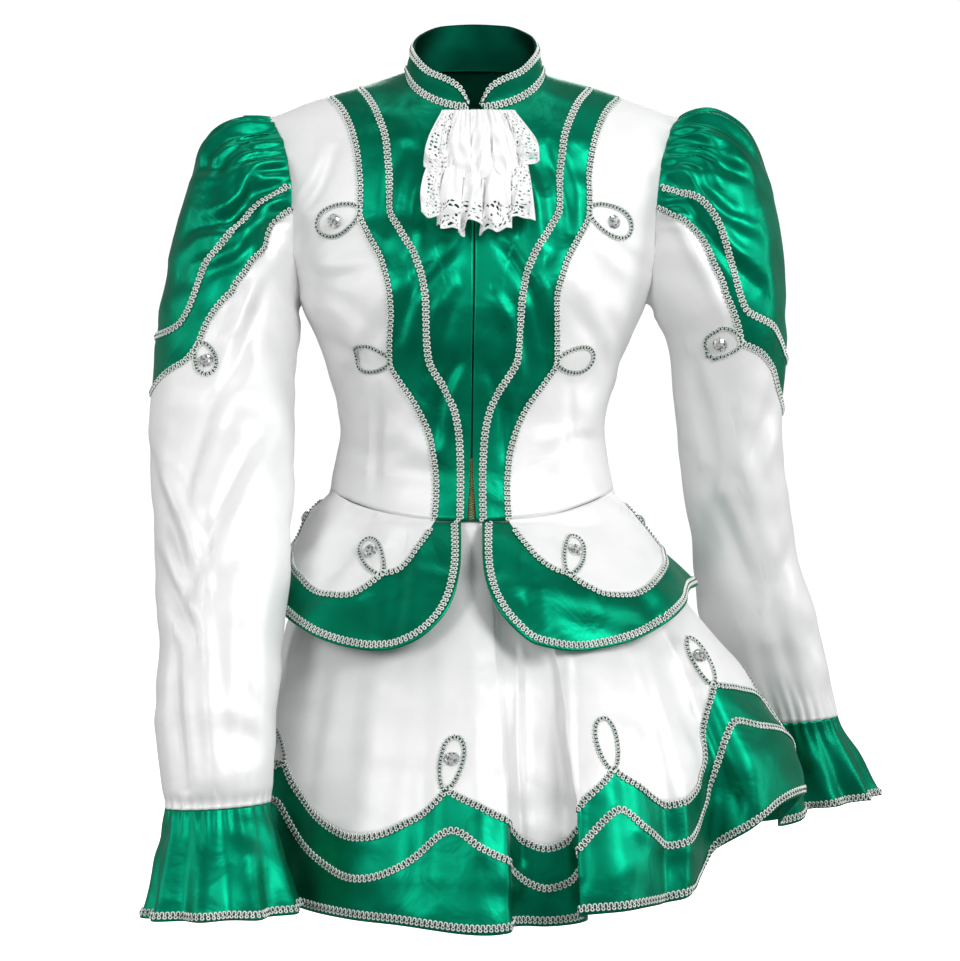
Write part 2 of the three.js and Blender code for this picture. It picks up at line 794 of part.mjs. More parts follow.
// Distance from the centre of a front or back column at a height; whole shares are seams and edges.
function columnX(share, z, back) {
  const seam = back ? backSeam(z) : outerSeam(z);
  if (share > 2) {
    const width = torsoWidth(z);
    const edge = z > -180 ? armhole(z) : width;
    const from = Math.asin(clamp(seam / width, 0, 1));
    const to = Math.asin(clamp(edge / width, 0, 1));
    return width * Math.sin(lerp(from, to, share - 2));
  }
  if (back) return (seam * share) / 2;
  if (share > 1) return lerp(innerLine(z), seam, share - 1);
  return lerp(frontOpening(z), innerLine(z), share);
}

function topX(share, back) {
  if (share > 2) return lerp(126, SHOULDER_TIP, share - 2);
  if (back) return 63 * share;
  return share > 1 ? lerp(101, 126, share - 1) : lerp(0.9, 101, share);
}

function topZ(x, back) {
  if (x >= NECK_HALF_WIDTH) return shoulderLine(x, back);
  const bow = Math.sqrt(1 - (x / NECK_HALF_WIDTH) ** 2);
  return NECK_SIDE_Z + (back ? NECK_BACK_RISE : -NECK_FRONT_DROP) * bow;
}

function bodicePoint(side, share, fraction, back) {
  const x0 = topX(share, back);
  const z0 = topZ(x0, back);
  let z1 = WAIST_SIDE_Z;
  for (let k = 0; k < 4; k += 1) z1 = waistLine(columnX(share, z1, back), z1, back);
  const z = lerp(z0, z1, fraction);
  const x = fraction === 0 ? x0 : columnX(share, z, back);
  let y = torsoDepth(x, z, back);
  if (fraction === 0 && x0 >= NECK_HALF_WIDTH - 0.5) y = back ? 0.3 : -0.3;
  return new THREE.Vector3(side * x + drift(z), y, z);
}

// Front and back meet at the shoulder and at the side, so both take the same normals there.
function matchNormals(sheet, shares, side) {
  shares.forEach((share, i) => {
    const sign = Math.sign(share * side) || 1;
    const top = sheet.points[i][0];
    if (Math.abs(top.x) >= NECK_HALF_WIDTH - 0.5) {
      sheet.normals[i][0].set(sign * SHOULDER_SLOPE, 0, 1).normalize();
    }
    if (Math.abs(share) !== 3) return;
    for (let j = 0; j < sheet.rows; j += 1) {
      const { z } = sheet.points[i][j];
      if (z > -179) continue;
      const lean = (torsoWidth(z + 2) - torsoWidth(z - 2)) / 4;
      sheet.normals[i][j].set(sign, 0, -lean).normalize();
    }
  });
}

function frontSheet(side) {
  const at = (i, j) => bodicePoint(side, FRONT_COLUMNS[i], BODICE_ROWS[j], false);
  const sheet = new Sheet(FRONT_COLUMNS.length, BODICE_ROWS.length, at, false, side);
  matchNormals(sheet, FRONT_COLUMNS, side);
  return sheet;
}

const BACK_COLUMNS = [...BACK_HALF.slice(1).reverse().map((s) => -s), ...BACK_HALF];

function backSheet() {
  const at = (i, j) => {
    const share = BACK_COLUMNS[i];
    return bodicePoint(Math.sign(share) || 1, Math.abs(share), BODICE_ROWS[j], true);
  };
  const sheet = new Sheet(BACK_COLUMNS.length, BODICE_ROWS.length, at, false, -1);
  matchNormals(sheet, BACK_COLUMNS, 1);
  return sheet;
}

// Collar ------------------------------------------------------------------------------------------------

const COLLAR_TURN = [...COLLAR_ANGLES, ...COLLAR_ANGLES.slice(0, -1).reverse().map((a) => -a)];

function collarSheet() {
  const at = (i, j) => {
    const angle = Math.abs(COLLAR_TURN[i]);
    const side = Math.sign(COLLAR_TURN[i]);
    const back = angle > 90;
    const baseX = NECK_HALF_WIDTH * Math.sin(rad(angle));
    const clear = COLLAR_CLEAR * (0.45 + 0.55 * Math.sin(rad(2 * Math.min(angle, 90))));
    const neckZ = topZ(Math.min(baseX, NECK_HALF_WIDTH - 1e-6), back);
    const baseZ = neckZ + clear;
    const baseY = torsoDepth(baseX, neckZ, back);
    const share = j / 3;
    const top = collarTop(angle);
    const x = lerp(baseX, COLLAR_TOP_WIDTH * Math.sin(rad(angle)), share);
    const y = lerp(baseY, -COLLAR_TOP_DEPTH * Math.cos(rad(angle)), share);
    return new THREE.Vector3(side * x, y, lerp(baseZ, top, share));
  };
  return new Sheet(COLLAR_TURN.length, 4, at, false, -1);
}

// Zip and jabot -----------------------------------------------------------------------------------------

function zipSheet() {
  const offsets = [-ZIP_HALF_WIDTH, 0, ZIP_HALF_WIDTH];
  const at = (i, j) => {
    const z = lerp(topZ(0.9, false), WAIST_SIDE_Z - WAIST_FRONT_DROP, BODICE_ROWS[j + 2]);
    const y = torsoDepth(Math.abs(offsets[i]), z, false) + SATIN + 0.9;
    return new THREE.Vector3(offsets[i] + drift(z), y, z);
  };
  return new Sheet(3, BODICE_ROWS.length - 2, at);
}

function jabotSheet(tier) {
  const at = (i, j) => {
    const u = (i / (JABOT_COLUMNS - 1)) * 2 - 1;
    const v = j / (JABOT_ROWS - 1);
    const half = lerp(tier.topHalf, tier.bottomHalf, Math.sqrt(v));
    const scallop = v * 4 * Math.abs(Math.sin(u * Math.PI * 2.5));
    const round = 1 - 0.16 * v * u * u;
    const z = lerp(tier.top, tier.bottom, v * round) - scallop;
    const x = tier.x + half * u;
    const wave = (0.4 + 9 * v) * (1 + Math.cos(u * Math.PI * tier.waves)) / 2;
    const y = torsoDepth(Math.abs(x), z, false) - LACE - JABOT_SEAT - tier.stand * v - wave;
    return new THREE.Vector3(x, y, z);
  };
  return new Sheet(JABOT_COLUMNS, JABOT_ROWS, at);
}

const laceHole = (i, j) => j === JABOT_ROWS - 3 && i % 2 === 1 && i > 1 && i < JABOT_COLUMNS - 3;

// Peplum ------------------------------------------------------------------------------------------------

function peplumPoint(angle, z, share) {
  const fold = PEPLUM_FOLD * share * share * Math.cos(rad(angle) * PEPLUM_FOLDS_PER_TURN);
  const deep = Math.abs(angle) > 90 ? peplumBack(z) : peplumFront(z);
  const narrow = angle < 0 ? lerp(1, PEPLUM_RIGHT_NARROWING, clamp((-362 - z) / 55, 0, 1)) : 1;
  const x = (peplumWidth(z) * narrow + fold) * Math.sin(rad(angle));
  return new THREE.Vector3(x + drift(z), -(deep + fold) * Math.cos(rad(angle)), z);
}

function peplumWaist(angle) {
  const back = Math.abs(angle) > 90;
  return WAIST_SIDE_Z - (back ? WAIST_BACK_DROP : WAIST_FRONT_DROP) * Math.cos(rad(angle)) ** 2 - 0.5;
}

const seamAngle = column(PEPLUM_LINES, "seamAngle");
const seamZ = column(PEPLUM_LINES, "seamZ");
const edgeAngle = column(PEPLUM_LINES, "edgeAngle");
const edgeZ = column(PEPLUM_LINES, "edgeZ");
const PEPLUM_HALF = seamAngle.length;
const PEPLUM_COLUMNS = PEPLUM_HALF * 2 - 1;
const PEPLUM_SEAM_ROW = 3;
const PEPLUM_EDGE_ROW = 6;

function peplumSheet() {
  const at = (i, j) => {
    const k = i < PEPLUM_HALF ? i : PEPLUM_COLUMNS - 1 - i;
    const side = i < PEPLUM_HALF ? 1 : -1;
    if (j <= PEPLUM_SEAM_ROW) {
      const share = j / PEPLUM_SEAM_ROW;
      const z = lerp(peplumWaist(seamAngle[k]), seamZ[k], share);
      return peplumPoint(side * seamAngle[k], z, share * 0.6);
    }
    const share = (j - PEPLUM_SEAM_ROW) / (PEPLUM_EDGE_ROW - PEPLUM_SEAM_ROW);
    const angle = lerp(seamAngle[k], edgeAngle[k], share);
    return peplumPoint(side * angle, lerp(seamZ[k], edgeZ[k], share), lerp(0.6, 1, share));
  };
  return new Sheet(PEPLUM_COLUMNS, PEPLUM_EDGE_ROW + 1, at);
}

// Skirt -------------------------------------------------------------------------------------------------

const hemAngle = column(HEM, "angle");
const hemX = column(HEM, "x");
const hemY = column(HEM, "y");
const hemZ = column(HEM, "z");
const bandHeight = column(HEM, "band");

function skirtPoint(i, drop) {
  const angle = hemAngle[i];
  const turn = rad(angle);
  const waist = peplumPoint(angle, peplumWaist(angle) - SKIRT_BELOW, 0);
  const outward = new THREE.Vector3(Math.sin(turn) * 90, -Math.cos(turn) * 125, 0).normalize();
  waist.addScaledVector(outward, -SKIRT_INSIDE);
  const wide = angle > 0 ? SKIRT_LEFT : SKIRT_RIGHT;
  const deep = Math.abs(angle) > 90 ? SKIRT_BACK : SKIRT_FRONT;
  const smooth = [wide * Math.sin(turn), -deep * Math.cos(turn)];
  const side = Math.sin(turn) ** 2;
  const length = waist.z - hemZ[i];
  const flareAt = (down) => lerp(flareFront(down), (angle > 0 ? flareLeft : flareRight)(down), side);
  const flare = flareAt(drop * length) / flareAt(length);
  const fold = drop ** SKIRT_FOLD_POWER;
  const x = lerp(waist.x, smooth[0], flare) + (hemX[i] - smooth[0]) * fold;
  const y = lerp(waist.y, smooth[1], flare) + (hemY[i] - smooth[1]) * fold;
  return new THREE.Vector3(x, y, lerp(waist.z, hemZ[i], drop));
}

const SKIRT_BAND_ROW = SKIRT_BODY_ROWS.length - 1;
const SKIRT_LINE_ROW = SKIRT_BAND_ROW + 1;
const SKIRT_HEM_ROW = SKIRT_LINE_ROW + SKIRT_BAND_ROWS;

function skirtSheet() {
  const at = (i, j) => {
    const length = peplumWaist(hemAngle[i]) - SKIRT_BELOW - hemZ[i];
    const bandTop = 1 - bandHeight[i] / length;
    const bandLine = 1 - (bandHeight[i] - BAND_LINE) / length;
    if (j <= SKIRT_BAND_ROW) return skirtPoint(i, bandTop * SKIRT_BODY_ROWS[j]);
    return skirtPoint(i, lerp(bandLine, 1, (j - SKIRT_LINE_ROW) / SKIRT_BAND_ROWS));
  };
  return new Sheet(hemAngle.length, SKIRT_HEM_ROW + 1, at, true);
}

// Sleeves -----------------------------------------------------------------------------------------------

// Angle of a sleeve column from the top of the sleeve, positive to the front; the cap ends at side.
function sleeveAngle(i, side) {
  const k = i - CAP_HALF;
  if (k <= CAP_HALF) return (k * side) / CAP_HALF;
  return side + ((k - CAP_HALF) * (360 - 2 * side)) / (SLEEVE_COLUMNS - 2 * CAP_HALF);
}

function sleeveRings(tbl) {
  const rings = tbl.rows.map((row) => Object.fromEntries(tbl.names.map((name, k) => [name, row[k]])));
  const numbered = { names: ["ring", ...tbl.names], rows: tbl.rows.map((row, k) => [k + 1, ...row]) };
  const curves = tbl.names.map((name) => curve(numbered, "ring", name));
  return (ring) => {
    if (ring >= rings.length) return rings[rings.length - 1];
    return Object.fromEntries(tbl.names.map((name, k) => [name, curves[k](ring)]));
  };
}

function sleevePoint(side, ringAt, angle, ring) {
  const turn = rad(angle);
  const gather = Math.sin(Math.PI * clamp(ring / 3.2, 0, 1)) * Math.max(0, Math.cos(turn * 0.9));
  const ripple = CAP_GATHER * gather * Math.cos(turn * CAP_GATHERS * 2);
  const flare = clamp((ring - WRIST_RING) / 2, 0, 1);
  const wave = CUFF_WAVE * flare * Math.cos(turn * CUFF_WAVES);
  const form = ringAt(Math.max(ring, 1));
  const centre = [(form.outerX + form.innerX) / 2, (form.outerZ + form.innerZ) / 2];
  const reach = [(form.outerX - form.innerX) / 2, (form.outerZ - form.innerZ) / 2];
  const swell = 1 + (ripple + wave) / 60;
  const x = centre[0] + reach[0] * Math.cos(turn) * swell;
  const z = centre[1] + reach[1] * Math.cos(turn) * swell;
  const y = form.y - form.depth * Math.sin(turn) * swell;
  const point = new THREE.Vector3(x, y, z);
  if (ring < 1) {
    const armZ = lerp(-180, -15.5, (1 + Math.cos(turn)) / 2);
    const front = Math.sin(turn) > 0;
    const armX = armhole(armZ);
    const armY = torsoDepth(armX, armZ, !front) * clamp(Math.abs(Math.sin(turn)) * 8, 0, 1);
    point.lerpVectors(new THREE.Vector3(armX + ARMHOLE_GAP, armY, armZ), point, ring);
  }
  return new THREE.Vector3(side * point.x, point.y, point.z);
}

const CUFF_TOP_ROW = CAP_ROWS + SLEEVE_ROWS.length - 1;

function sleeveSheet(side, tbl, cap) {
  const ringAt = sleeveRings(tbl);
  const capSide = curve(cap.side, "ring", "angle");
  const at = (i, j) => {
    const edge = cap.edge[Math.min(Math.abs(i - CAP_HALF), CAP_HALF)];
    let ring = (edge * j) / CAP_ROWS;
    if (j > CAP_ROWS) ring = lerp(edge, WRIST_RING, SLEEVE_ROWS[Math.min(j, CUFF_TOP_ROW) - CAP_ROWS]);
    if (j > CUFF_TOP_ROW) ring = lerp(WRIST_RING, WRIST_RING + 2, (j - CUFF_TOP_ROW) / CUFF_ROWS);
    return sleevePoint(side, ringAt, sleeveAngle(i, capSide(ring)), ring);
  };
  return new Sheet(SLEEVE_COLUMNS, CUFF_TOP_ROW + CUFF_ROWS + 1, at, true, -side);
}

const inCap = (i, j) => i < CAP_HALF * 2 && j < CAP_ROWS;

// Grid positions along the inner braid line of a cap, from the front armhole round to the back one.
function capLine(cap) {
  const capSide = curve(cap.side, "ring", "angle");
  const half = [];
  for (let k = 0; k < (cap.line.length - 1) * LINE_STEPS; k += 1) {
    const from = cap.line[Math.floor(k / LINE_STEPS)];
    const to = cap.line[Math.floor(k / LINE_STEPS) + 1];
    const share = (k % LINE_STEPS) / LINE_STEPS;
    const ring = lerp(from[1], to[1], share);
    const fromTop = (lerp(from[0], to[0], share) / capSide(ring)) * CAP_HALF;
    const low = Math.min(Math.floor(fromTop), CAP_HALF - 1);
    const edge = lerp(cap.edge[low], cap.edge[low + 1], fromTop - low);
    half.push([fromTop, (ring / edge) * CAP_ROWS]);
  }
  const top = [0, (cap.line[cap.line.length - 1][1] / cap.edge[0]) * CAP_ROWS];
  const other = half.map(([i, j]) => [-i, j]).reverse();
  return [...half, top, ...other].map(([i, j]) => [CAP_HALF + i, j]);
}

// Grid positions along the edge of a cap: down its front side, along its lower edge and up its back side.
function capBorder() {
  const rows = [0.2, 1, 2, 3, 4, 5];
  const front = rows.map((j) => [CAP_HALF * 2, j]);
  const low = [];
  for (let i = CAP_HALF * 2; i >= 0; i -= 1) low.push([i, CAP_ROWS]);
  return [...front, ...low, ...rows.reverse().map((j) => [0, j])];
}

// Assembly ----------------------------------------------------------------------------------------------

const dress = new THREE.Group();
dress.name = "majorette_dress";

function sew(finish, mesh) {
  mesh.material = new THREE.MeshStandardMaterial(finish);
  dress.add(mesh);
}

// Sets a stone in each loop but the empty one.
function setStones(name, sheet, loops, empty) {
  loops.forEach((l, k) => {
    if (k !== empty) sew(FACETED_STONE, stone(name + "_" + (k + 1), sheet, l.centre));
  });
}

function addBodiceFront(side, name) {
  const sheet = frontSheet(side);
  sew(GREEN_SATIN, sheet.piece("front_centre_" + name, SATIN, (i) => i < SEAM_COLUMN));
  sew(WHITE_SATIN, sheet.piece("front_side_" + name, SATIN, (i) => i >= SEAM_COLUMN));
  const last = BODICE_ROWS.length - 1;
  const half = BRAID_WIDTH / 2;
  sew(GIMP_BRAID, braidAlongColumn("braid_inner_" + name, sheet, INNER_COLUMN, 1, last, half, half));
  const seam = braidAlongColumn("seam", sheet, SEAM_COLUMN, 1, last, half, half);
  const loops = BODICE_LOOPS.map(([row, lean]) =>
    loop(sheet, SEAM_COLUMN, row, 1, lean, BODICE_LOOP_LENGTH, BODICE_LOOP_WIDTH),
  );
  sew(GIMP_BRAID, joined("braid_outer_" + name, [seam, ...loops.map((l) => l.mesh)]));
  setStones("stone_bodice_" + name, sheet, loops, EMPTY_BODICE_LOOP);
}

function addBodiceBack() {
  const sheet = backSheet();
  const last = BODICE_ROWS.length - 1;
  const half = BRAID_WIDTH / 2;
  const left = BACK_COLUMNS.indexOf(2);
  const right = BACK_COLUMNS.indexOf(-2);
  sew(GREEN_SATIN, sheet.piece("back_centre", SATIN, (i) => i >= right && i < left));
  sew(WHITE_SATIN, sheet.piece("back_side_right", SATIN, (i) => i < right));
  sew(WHITE_SATIN, sheet.piece("back_side_left", SATIN, (i) => i >= left));
  sew(GIMP_BRAID, braidAlongColumn("braid_back_right", sheet, right, 1, last, half, half));
  sew(GIMP_BRAID, braidAlongColumn("braid_back_left", sheet, left, 1, last, half, half));
}

function addCollar() {
  const sheet = collarSheet();
  const end = COLLAR_TURN.length - 1;
  sew(GREEN_SATIN, sheet.piece("collar", SATIN, () => true));
  sew(GIMP_BRAID, braidAlongRow("braid_collar", sheet, () => 3, 1, end - 1, BRAID_WIDTH + 0.5, -0.5));
  sew(GIMP_BRAID, braidAlongRow("braid_neck", sheet, () => 0, 1, end - 1, -0.5, BRAID_WIDTH * 0.8));
}

function addJabot() {
  sew(WHITE_LACE, jabotSheet(JABOT_UPPER).piece("jabot_upper", LACE, (i, j) => !laceHole(i, j)));
  sew(WHITE_LACE, jabotSheet(JABOT_LOWER).piece("jabot_lower", LACE, (i, j) => !laceHole(i, j)));
}

function addPeplum() {
  const sheet = peplumSheet();
  const last = PEPLUM_COLUMNS - 1;
  const half = BRAID_WIDTH / 2;
  sew(WHITE_SATIN, sheet.piece("peplum", SATIN, (i, j) => j < PEPLUM_SEAM_ROW));
  sew(GREEN_SATIN, sheet.piece("peplum_border", SATIN, (i, j) => j >= PEPLUM_SEAM_ROW));
  const reach = BRAID_WIDTH + EDGE_MARGIN;
  const edge = () => PEPLUM_EDGE_ROW;
  sew(GIMP_BRAID, braidAlongRow("braid_peplum_edge", sheet, edge, 0, last, reach, -EDGE_MARGIN));
  const seam = braidAlongRow("seam", sheet, () => PEPLUM_SEAM_ROW, 1, last - 1, half, half);
  const loops = PEPLUM_CUSPS.map(([i, lean]) =>
    loop(sheet, i, PEPLUM_SEAM_ROW, lean, -1, SMALL_LOOP_LENGTH, SMALL_LOOP_WIDTH),
  );
  sew(GIMP_BRAID, joined("braid_peplum_scallop", [seam, ...loops.map((l) => l.mesh)]));
  setStones("stone_peplum", sheet, loops);
}

function addSkirt() {
  const sheet = skirtSheet();
  const all = sheet.columns;
  const half = BRAID_WIDTH / 2;
  sew(WHITE_SATIN, sheet.piece("skirt", SATIN, (i, j) => j < SKIRT_BAND_ROW));
  sew(GREEN_SATIN, sheet.piece("skirt_border", SATIN, (i, j) => j >= SKIRT_BAND_ROW));
  const seam = braidAlongRow("seam", sheet, () => SKIRT_BAND_ROW, 0, all, half, half);
  const loops = SKIRT_CUSPS.map(([i, lean]) =>
    loop(sheet, i, SKIRT_BAND_ROW, lean, -1, LOOP_LENGTH, LOOP_WIDTH),
  );
  sew(GIMP_BRAID, joined("braid_skirt_top", [seam, ...loops.map((l) => l.mesh)]));
  setStones("stone_skirt", sheet, loops, EMPTY_SKIRT_LOOP);
  sew(GIMP_BRAID, braidAlongRow("braid_skirt_mid", sheet, () => SKIRT_LINE_ROW, 0, all, half, half));
  const reach = BRAID_WIDTH + EDGE_MARGIN;
  const hem = () => SKIRT_HEM_ROW;
  sew(GIMP_BRAID, braidAlongRow("braid_skirt_hem", sheet, hem, 0, all, reach, -EDGE_MARGIN));
}

function addSleeve(side, name, tbl, cap) {
  const sheet = sleeveSheet(side, tbl, cap);
  sew(GREEN_SATIN, sheet.piece("sleeve_cap_" + name, SATIN, inCap));
  sew(WHITE_SATIN, sheet.piece("sleeve_" + name, SATIN, (i, j) => !inCap(i, j) && j < CUFF_TOP_ROW));
  sew(GREEN_SATIN, sheet.piece("cuff_" + name, SATIN, (i, j) => j >= CUFF_TOP_ROW));
  sew(GIMP_BRAID, braidAlongPath("braid_cap_mid_" + name, sheet, capLine(cap)));
  const seam = braidAlongPath("seam", sheet, capBorder());
  const loops = [1, -1].map((facing) => {
    const start = CAP_HALF + facing * cap.point;
    const [lean, down, width] = cap.loop;
    return loop(sheet, start, CAP_ROWS, facing * lean, down, SMALL_LOOP_LENGTH, width);
  });
  sew(GIMP_BRAID, joined("braid_cap_edge_" + name, [seam, ...loops.map((l) => l.mesh)]));
  setStones("stone_sleeve_" + name, sheet, loops);
  const hem = () => CUFF_TOP_ROW + CUFF_ROWS;
  const all = sheet.columns;
  sew(GIMP_BRAID, braidAlongRow("braid_cuff_" + name, sheet, hem, 0, all, BRAID_WIDTH + 1, -1));
}

addBodiceFront(-1, "right");
addBodiceFront(1, "left");
addBodiceBack();
addCollar();
sew(ZIP_TAPE, zipSheet().piece("zip", ZIP_THICKNESS, () => true));
addJabot();
addPeplum();
addSkirt();
addSleeve(-1, "right", SLEEVE_RIGHT, CAP_RIGHT);
addSleeve(1, "left", SLEEVE_LEFT, CAP_LEFT);

export default dress;
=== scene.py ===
"""Majorette dress: satin bodice, peplum, skirt and sleeves with gimp braid, stones, a lace jabot and a zip.

Sizes are in millimetres in the tables and forms, and in metres in Blender. The front faces -Y, and "right"
and "left" are the wearer's: right is -X.
"""
import logging
import math
from dataclasses import dataclass, field
from enum import Enum
from typing import Callable, Iterable, Sequence

import bpy
import numpy as np
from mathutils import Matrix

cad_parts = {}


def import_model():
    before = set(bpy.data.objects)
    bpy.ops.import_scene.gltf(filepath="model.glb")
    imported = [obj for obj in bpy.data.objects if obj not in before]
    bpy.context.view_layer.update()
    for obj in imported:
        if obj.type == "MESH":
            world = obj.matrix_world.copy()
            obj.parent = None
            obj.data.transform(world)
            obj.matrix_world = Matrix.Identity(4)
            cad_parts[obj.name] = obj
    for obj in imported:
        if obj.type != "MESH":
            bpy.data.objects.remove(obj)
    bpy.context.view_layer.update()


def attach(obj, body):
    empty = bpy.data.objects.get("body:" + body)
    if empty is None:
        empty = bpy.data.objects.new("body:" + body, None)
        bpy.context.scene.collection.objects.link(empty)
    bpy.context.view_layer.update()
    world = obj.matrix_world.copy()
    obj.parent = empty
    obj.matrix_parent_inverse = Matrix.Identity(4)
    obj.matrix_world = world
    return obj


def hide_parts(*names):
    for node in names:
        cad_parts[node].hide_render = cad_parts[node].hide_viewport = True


Array = np.ndarray
Curve = Callable[[Array], Array]
MM = 0.001
BODY = "root"
SATIN = 1.5  # wall of the satin with its lining
LACE = 1.2  # thickness of the lace's own solid
BRAID_LIFT = 0.95  # height of the middle of the gimp above the cloth
STONE_LIFT = 0.9  # underside of a stone above the cloth
EDGE_INSET = 5.5  # middle of an edge braid from the edge


class Side(Enum):
    """The wearer's sides."""

    RIGHT = -1
    LEFT = 1

    @property
    def word(self) -> str:
        """The side's name, as it ends a piece's name."""
        return self.name.lower()


class Hold(Enum):
    """How a sheet of cloth is held."""

    HUNG = "hung"
    GATHERED = "gathered"


# Forms -----------------------------------------------------------------------------------------------------


def monotone(x: Sequence[float], y: Sequence[float]) -> Curve:
    """A smooth curve through points with no overshoot.

    Args:
        x: Places of the points, in any order.
        y: Values at the points.

    Returns:
        A function of an array of places, flat outside the points.
    """
    order = np.argsort(x)
    xs, ys = np.asarray(x, float)[order], np.asarray(y, float)[order]
    slope = np.diff(ys) / np.diff(xs)
    product = slope[:-1] * slope[1:]
    total = np.where(product > 0, slope[:-1] + slope[1:], 1)
    tangent = np.concatenate([slope[:1], np.where(product > 0, 2 * product / total, 0), slope[-1:]])

    def at(place: Array) -> Array:
        """The curve's value at each place."""
        place = np.clip(place, xs[0], xs[-1])
        k = np.clip(np.searchsorted(xs, place, side="right") - 1, 0, len(xs) - 2)
        h = xs[k + 1] - xs[k]
        t = (place - xs[k]) / h
        low = ys[k] * (1 + 2 * t) * (1 - t) ** 2 + ys[k + 1] * t * t * (3 - 2 * t)
        return low + h * (tangent[k] * t * (1 - t) ** 2 - tangent[k + 1] * t * t * (1 - t))

    return at


def scalloped(values: Sequence[float], cusps: Iterable[int] = (), closed: bool = False) -> Curve:
    """A smooth curve through evenly numbered values, with a sharp point at each cusp.

    Args:
        values: One value for each number 0, 1, 2 and so on.
        cusps: Numbers where the curve turns sharply.
        closed: Whether the last value is followed by the first.

    Returns:
        A function of an array of numbers.
    """
    v = np.asarray(values, float)
    count = len(v)
    after = np.roll(v, -1) - v if closed else np.append(np.diff(v), v[-1] - v[-2])
    before = np.roll(after, 1) if closed else np.insert(np.diff(v), 0, v[1] - v[0])
    leaving, arriving = (after + before) / 2, (after + before) / 2
    for cusp in cusps:
        leaving[cusp], arriving[cusp] = after[cusp] * 1.35, before[cusp] * 1.35

    def at(place: Array) -> Array:
        """The curve's value at each number."""
        k = np.floor(place).astype(int)
        k = k if closed else np.clip(k, 0, count - 2)
        t = place - k
        a, b = k % count, (k + 1) % count
        low = v[a] * (1 + 2 * t) * (1 - t) ** 2 + v[b] * t * t * (3 - 2 * t)
        return low + leaving[a] * t * (1 - t) ** 2 - arriving[b] * t * t * (1 - t)

    return at


def lerp(a: Array, b: Array, t: Array) -> Array:
    """The value a share t of the way from a to b."""
    return a + (b - a) * t


def ease(t: Array) -> Array:
    """A share from 0 to 1 with soft ends."""
    t = np.clip(t, 0, 1)
    return t * t * (3 - 2 * t)


def unit(vectors: Array) -> Array:
    """The vectors at length 1."""
    return vectors / np.maximum(np.linalg.norm(vectors, axis=-1, keepdims=True), 1e-9)


def stack(x: Array, y: Array, z: Array) -> Array:
    """Points from three arrays of one shape."""
    return np.stack(np.broadcast_arrays(x, y, z), axis=-1).astype(float)


@dataclass(frozen=True)
class Table:
    """A short table of sizes with named columns."""

    names: tuple[str, ...]
    rows: tuple[tuple[float, ...], ...]

    def column(self, name: str) -> list[float]:
        """The values under one name."""
        return [row[self.names.index(name)] for row in self.rows]

    def curve(self, key: str, name: str) -> Curve:
        """A smooth curve through one column against another."""
        return monotone(self.column(key), self.column(name))


@dataclass(frozen=True)
class Crease:
    """A soft fold in the cloth along a curve, as seen from the front or the back.

    Attributes:
        path: (x, z) of points along the fold.
        width: Half width of the fold.
        depth: Height of the ridge; a trough is negative.
        behind: Whether it is on the back of the garment.
        lip: Height of the opposite fold beside it, as a share of its depth.
    """

    path: tuple[tuple[float, float], ...]
    width: float
    depth: float
    behind: bool = False
    lip: float = 0.5

    def line(self) -> Array:
        """Close points along the curve."""
        at = np.arange(len(self.path))
        fine = np.linspace(0, len(self.path) - 1, 6 * len(self.path))
        return np.stack([monotone(at, [point[k] for point in self.path])(fine) for k in range(2)], axis=1)

    def push(self, points: Array, normals: Array) -> Array:
        """How far each point moves along its normal."""
        line = self.line()
        flat = points[..., [0, 2]]
        nearest = np.full(flat.shape[:2], np.inf)
        aside, t = np.zeros_like(nearest), np.zeros_like(nearest)
        for k, (a, b) in enumerate(zip(line, line[1:])):
            way = b - a
            along = np.clip(((flat - a) @ way) / float(way @ way), 0, 1)
            off = flat - a - along[..., None] * way
            away = np.linalg.norm(off, axis=-1)
            closer = away < nearest
            side = np.sign(way[0] * off[..., 1] - way[1] * off[..., 0])
            nearest = np.where(closer, away, nearest)
            aside = np.where(closer, away * side, aside)
            t = np.where(closer, (k + along) / (len(line) - 1), t)
        facing = ease((normals[..., 1] if self.behind else -normals[..., 1]) * 3)
        fade = 0.2 + 0.8 * np.sin(np.pi * np.clip(0.1 + 0.8 * t, 0, 1))
        beside = (aside - 1.7 * self.width) / self.width
        profile = np.exp(-((aside / self.width) ** 2)) - self.lip * np.exp(-(beside ** 2))
        return self.depth * profile * fade * facing


@dataclass(frozen=True)
class Pucker:
    """Small uneven rises and dips all over a cloth, as worn satin has.

    Attributes:
        height: Usual height of a rise.
        size: Usual distance between rises.
        seed: Start of the row of chance numbers that places them.
        waves: How many waves are laid over each other.
    """

    height: float = 0.75
    size: float = 58
    seed: int = 5
    waves: int = 10

    def push(self, points: Array) -> Array:
        """How far each point moves along its normal."""
        chance = np.random.default_rng(self.seed)
        total = np.zeros(points.shape[:2])
        for _ in range(self.waves):
            along, bend = unit(chance.normal(size=(2, 3)))
            length = self.size * chance.uniform(0.55, 1.7)
            turn = points @ along * (2 * math.pi / length) + chance.uniform(0, 2 * math.pi)
            total += np.sin(turn + 1.3 * np.sin(points @ bend * (2 * math.pi / (length * 1.9))))
        return self.height * total * 0.45


